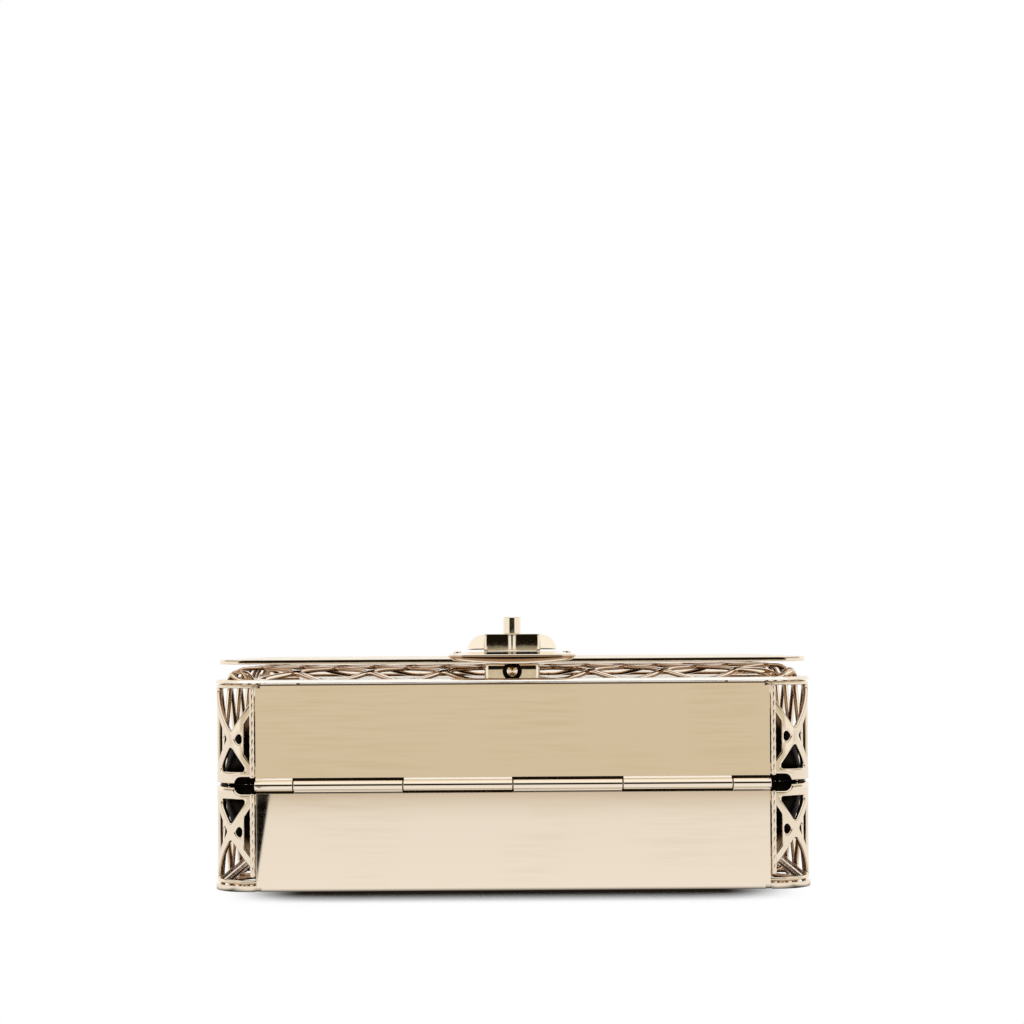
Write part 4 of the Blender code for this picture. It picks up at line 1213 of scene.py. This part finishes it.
def lip():
    """The lip: it follows the plate's outline in front of the flap's edge. Its
    foot is an arc, lowest in the middle, and its face is a half ellipse that
    swells by 0.5 mm between the foot and the plate's top."""
    front = [point for point in loop.tolist() if point[1] < lip_y]
    right = sorted(point for point in front if point[0] > 0)
    left = sorted(point for point in front if point[0] < 0)
    middle = [(x, plate_low) for x in np.linspace(left[-1][0], right[0][0], 16)[1:-1]]
    behind = [(right[-1][0], lip_y), (left[0][0], lip_y)]
    outline = np.array(left + middle + right + behind)
    foot = lip_lowest + lip_arch * (outline[:, 0] / plate_x) ** 2
    held = np.where(outline[:, 1] > lip_y - 0.00001, 0.0, 1.0)
    rows = []
    for turn in np.linspace(-math.pi / 2, math.pi / 2, 19):
        level = foot + (plate_top - foot) * (1 + math.sin(turn)) / 2
        rows.append(in_space(inset(outline, held * lip_swell * (1 - math.cos(turn))), level))
    return lofted(rows)


add_piece("escutcheon", "plate", joined(face_plate, lip()), lip_gold, "flap")
for side, side_x in (("left", -1), ("right", 1)):
    node = "escutcheon_screw_" + side
    low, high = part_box(node)
    circle = circle_loop(side_x * screw_x, slot_y, screw_radius, 32)
    head = slab(circle, low.z - 0.0002, high.z, 0.00022)
    add_piece(node, "head", head, lock_gold, "flap")


# Lock base. A block with a bright stud in a round recess stands through the
# front panel on a bracket that is soldered behind the rim; it carries the post.
bracket_x, bracket_near, bracket_far, bracket_corner = 0.01095, -0.0562, -0.03035, 0.0026
bracket_low, bracket_high = 0.0609, 0.0619
base_x, base_near, base_far, base_corner = 0.00835, -0.05285, -0.03295, 0.0016
base_low, base_high = 0.0622, 0.06745
stud_z, stud_radius, stud_height = 0.065325, 0.0016, 0.0008
recess_radius = 0.0021
lock_y, post_radius = -0.0410, 0.0020


def recess(x, y, z):
    """The round recess that the stud stands in, painted near black as its shade."""
    out = span_of(x, value_node("SUBTRACT", z, stud_z))
    inside = range_node(out, 0.0030, 0.0028)
    return times(inside, range_node(y, base_near + 0.0010, base_near + 0.0008))


def turned(steps):
    """A form turned about the stud's axis, from steps of radius and how far
    each stands out of the block."""
    rows = [in_space(circle_loop(0, stud_z, r), base_near - out, "Y") for r, out in steps]
    return lofted(rows, "Y")


bracket = rounded_loop(bracket_x, bracket_near, bracket_far, bracket_corner, 8)
bracket = slab(bracket, bracket_low, bracket_high)
add_piece("lock_bracket", "plate", bracket, cast_gold, "front_shell")
base_gold = gold("base_gold", *lock_finish)
# The recess round the stud is painted near black as shade.
toned(base_gold, recess, (0.010, 0.007, 0.004), 0.3)
block = rounded_loop(base_x, base_near, base_far, base_corner)
block = slab(block, base_low, base_high, 0.00020, steps=14, top_rise=0.0017)
beads = ((0.00045, 0.0), (0.00038, 0.00012), (0.0002, 0.0002), (0.0, 0.00012), (-0.0001, 0.0))
collar = turned([(recess_radius + wider, out) for wider, out in beads])
add_piece("lock_base", "block", joined(block, collar), base_gold, "front_shell")
shares = (0.02, 0.10, 0.22, 0.40, 0.60, 0.80, 0.99, 1.0)
dome = [(stud_radius * s, 0.0002 + stud_height * min(1.0, 1.02 - s)) for s in shares]
add_piece("base_stud", "dome", turned(dome), lock_gold, "front_shell", flats=False)
post_levels = [corner.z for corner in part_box("lock_post")]
post = slab(circle_loop(0, lock_y, post_radius, 40), *post_levels, 0.0002)
add_piece("lock_post", "turned", post, lock_gold, "knob")


# Knob. A milled block with a groove in each side between two lobes that fall
# away to its ends, on a thin collar, with a round peg riveted through it.
knob_low, knob_high = 0.0716, 0.0765
block_x, block_y, block_corner, collar_corner = 0.00865, 0.0045, 0.0012, 0.0015
block_near, block_far = lock_y - block_y, lock_y + block_y
groove_half, groove_depth = 0.0016, 0.0011
lobe_y, lobe_reach, lobe_height = 0.0031, 0.00485, 0.00455
peg_radius = 0.00265
collar = rounded_loop(block_x, block_near, block_far, collar_corner, 8)
steps = ((0.0001, 0.07116), (0.0, 0.07122), (0.0002, 0.07158), (0.0003, 0.07162))
collar = lofted([in_space(inset(collar, d), level) for d, level in steps])
add_piece("knob_collar", "disc", collar, lock_gold, "knob")


def block_outline():
    """The block in plan: round upright edges, and a V groove in the middle of
    each long side."""
    loop = rounded_loop(block_x, block_near, block_far, block_corner)
    groove = [(1, 0), (0.25, 1), (-0.25, 1), (-1, 0)]
    far = [(groove_half * x, block_far - groove_depth * deep) for x, deep in groove]
    near = [(-groove_half * x, block_near + groove_depth * deep) for x, deep in groove]
    half = len(loop) // 2
    return np.concatenate([loop[:half], far, loop[half:], near])


def lobes():
    """A bar whose top is a quarter of an ellipse at each end. Its two faces
    lean toward each other: at a height h over its foot, its half width is
    lobe_y * (1 - 0.78 h / lobe_height), and its ridge is rounded."""
    turn = np.linspace(0, math.pi / 2, 21)
    x = block_x + lobe_reach * np.cos(turn)
    top = lobe_height * np.sin(turn)
    x = np.concatenate([x, -x[::-1]])
    top = np.concatenate([top, top[::-1]])
    ridge = 0.9 + 0.1 * np.sin(np.linspace(0.2, math.pi / 2, 6))
    across = np.concatenate([np.linspace(0, 0.9, 10), ridge])
    heights = across[None] * top[:, None]
    round_off = np.sqrt(np.clip(1 - np.clip((across - 0.8) / 0.2, 0, 1) ** 2, 0, 1))[None]
    width = lobe_y * (1 - 0.78 * heights / lobe_height) * round_off
    x = x[:, None] + 0 * heights
    z = knob_low + 0.00015 + heights
    near = np.stack([x, lock_y - width, z], 2)
    far = np.stack([x, lock_y + width, z], 2)[:, ::-1]
    return lofted(list(np.concatenate([near, far], 1)[::-1]))


block = slab(block_outline(), knob_low, knob_high, 0.00022, steps=14, top_rise=0.0036)
add_piece("turn_knob", "milled", joined(block, lobes()), lock_gold, "knob")
circle = circle_loop(0, lock_y, peg_radius, 64)
peg = slab(circle, knob_high - 0.0001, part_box("knob_peg")[1].z, 0.00035, steps=6)
add_piece("knob_peg", "turned", peg, lock_gold, "knob")
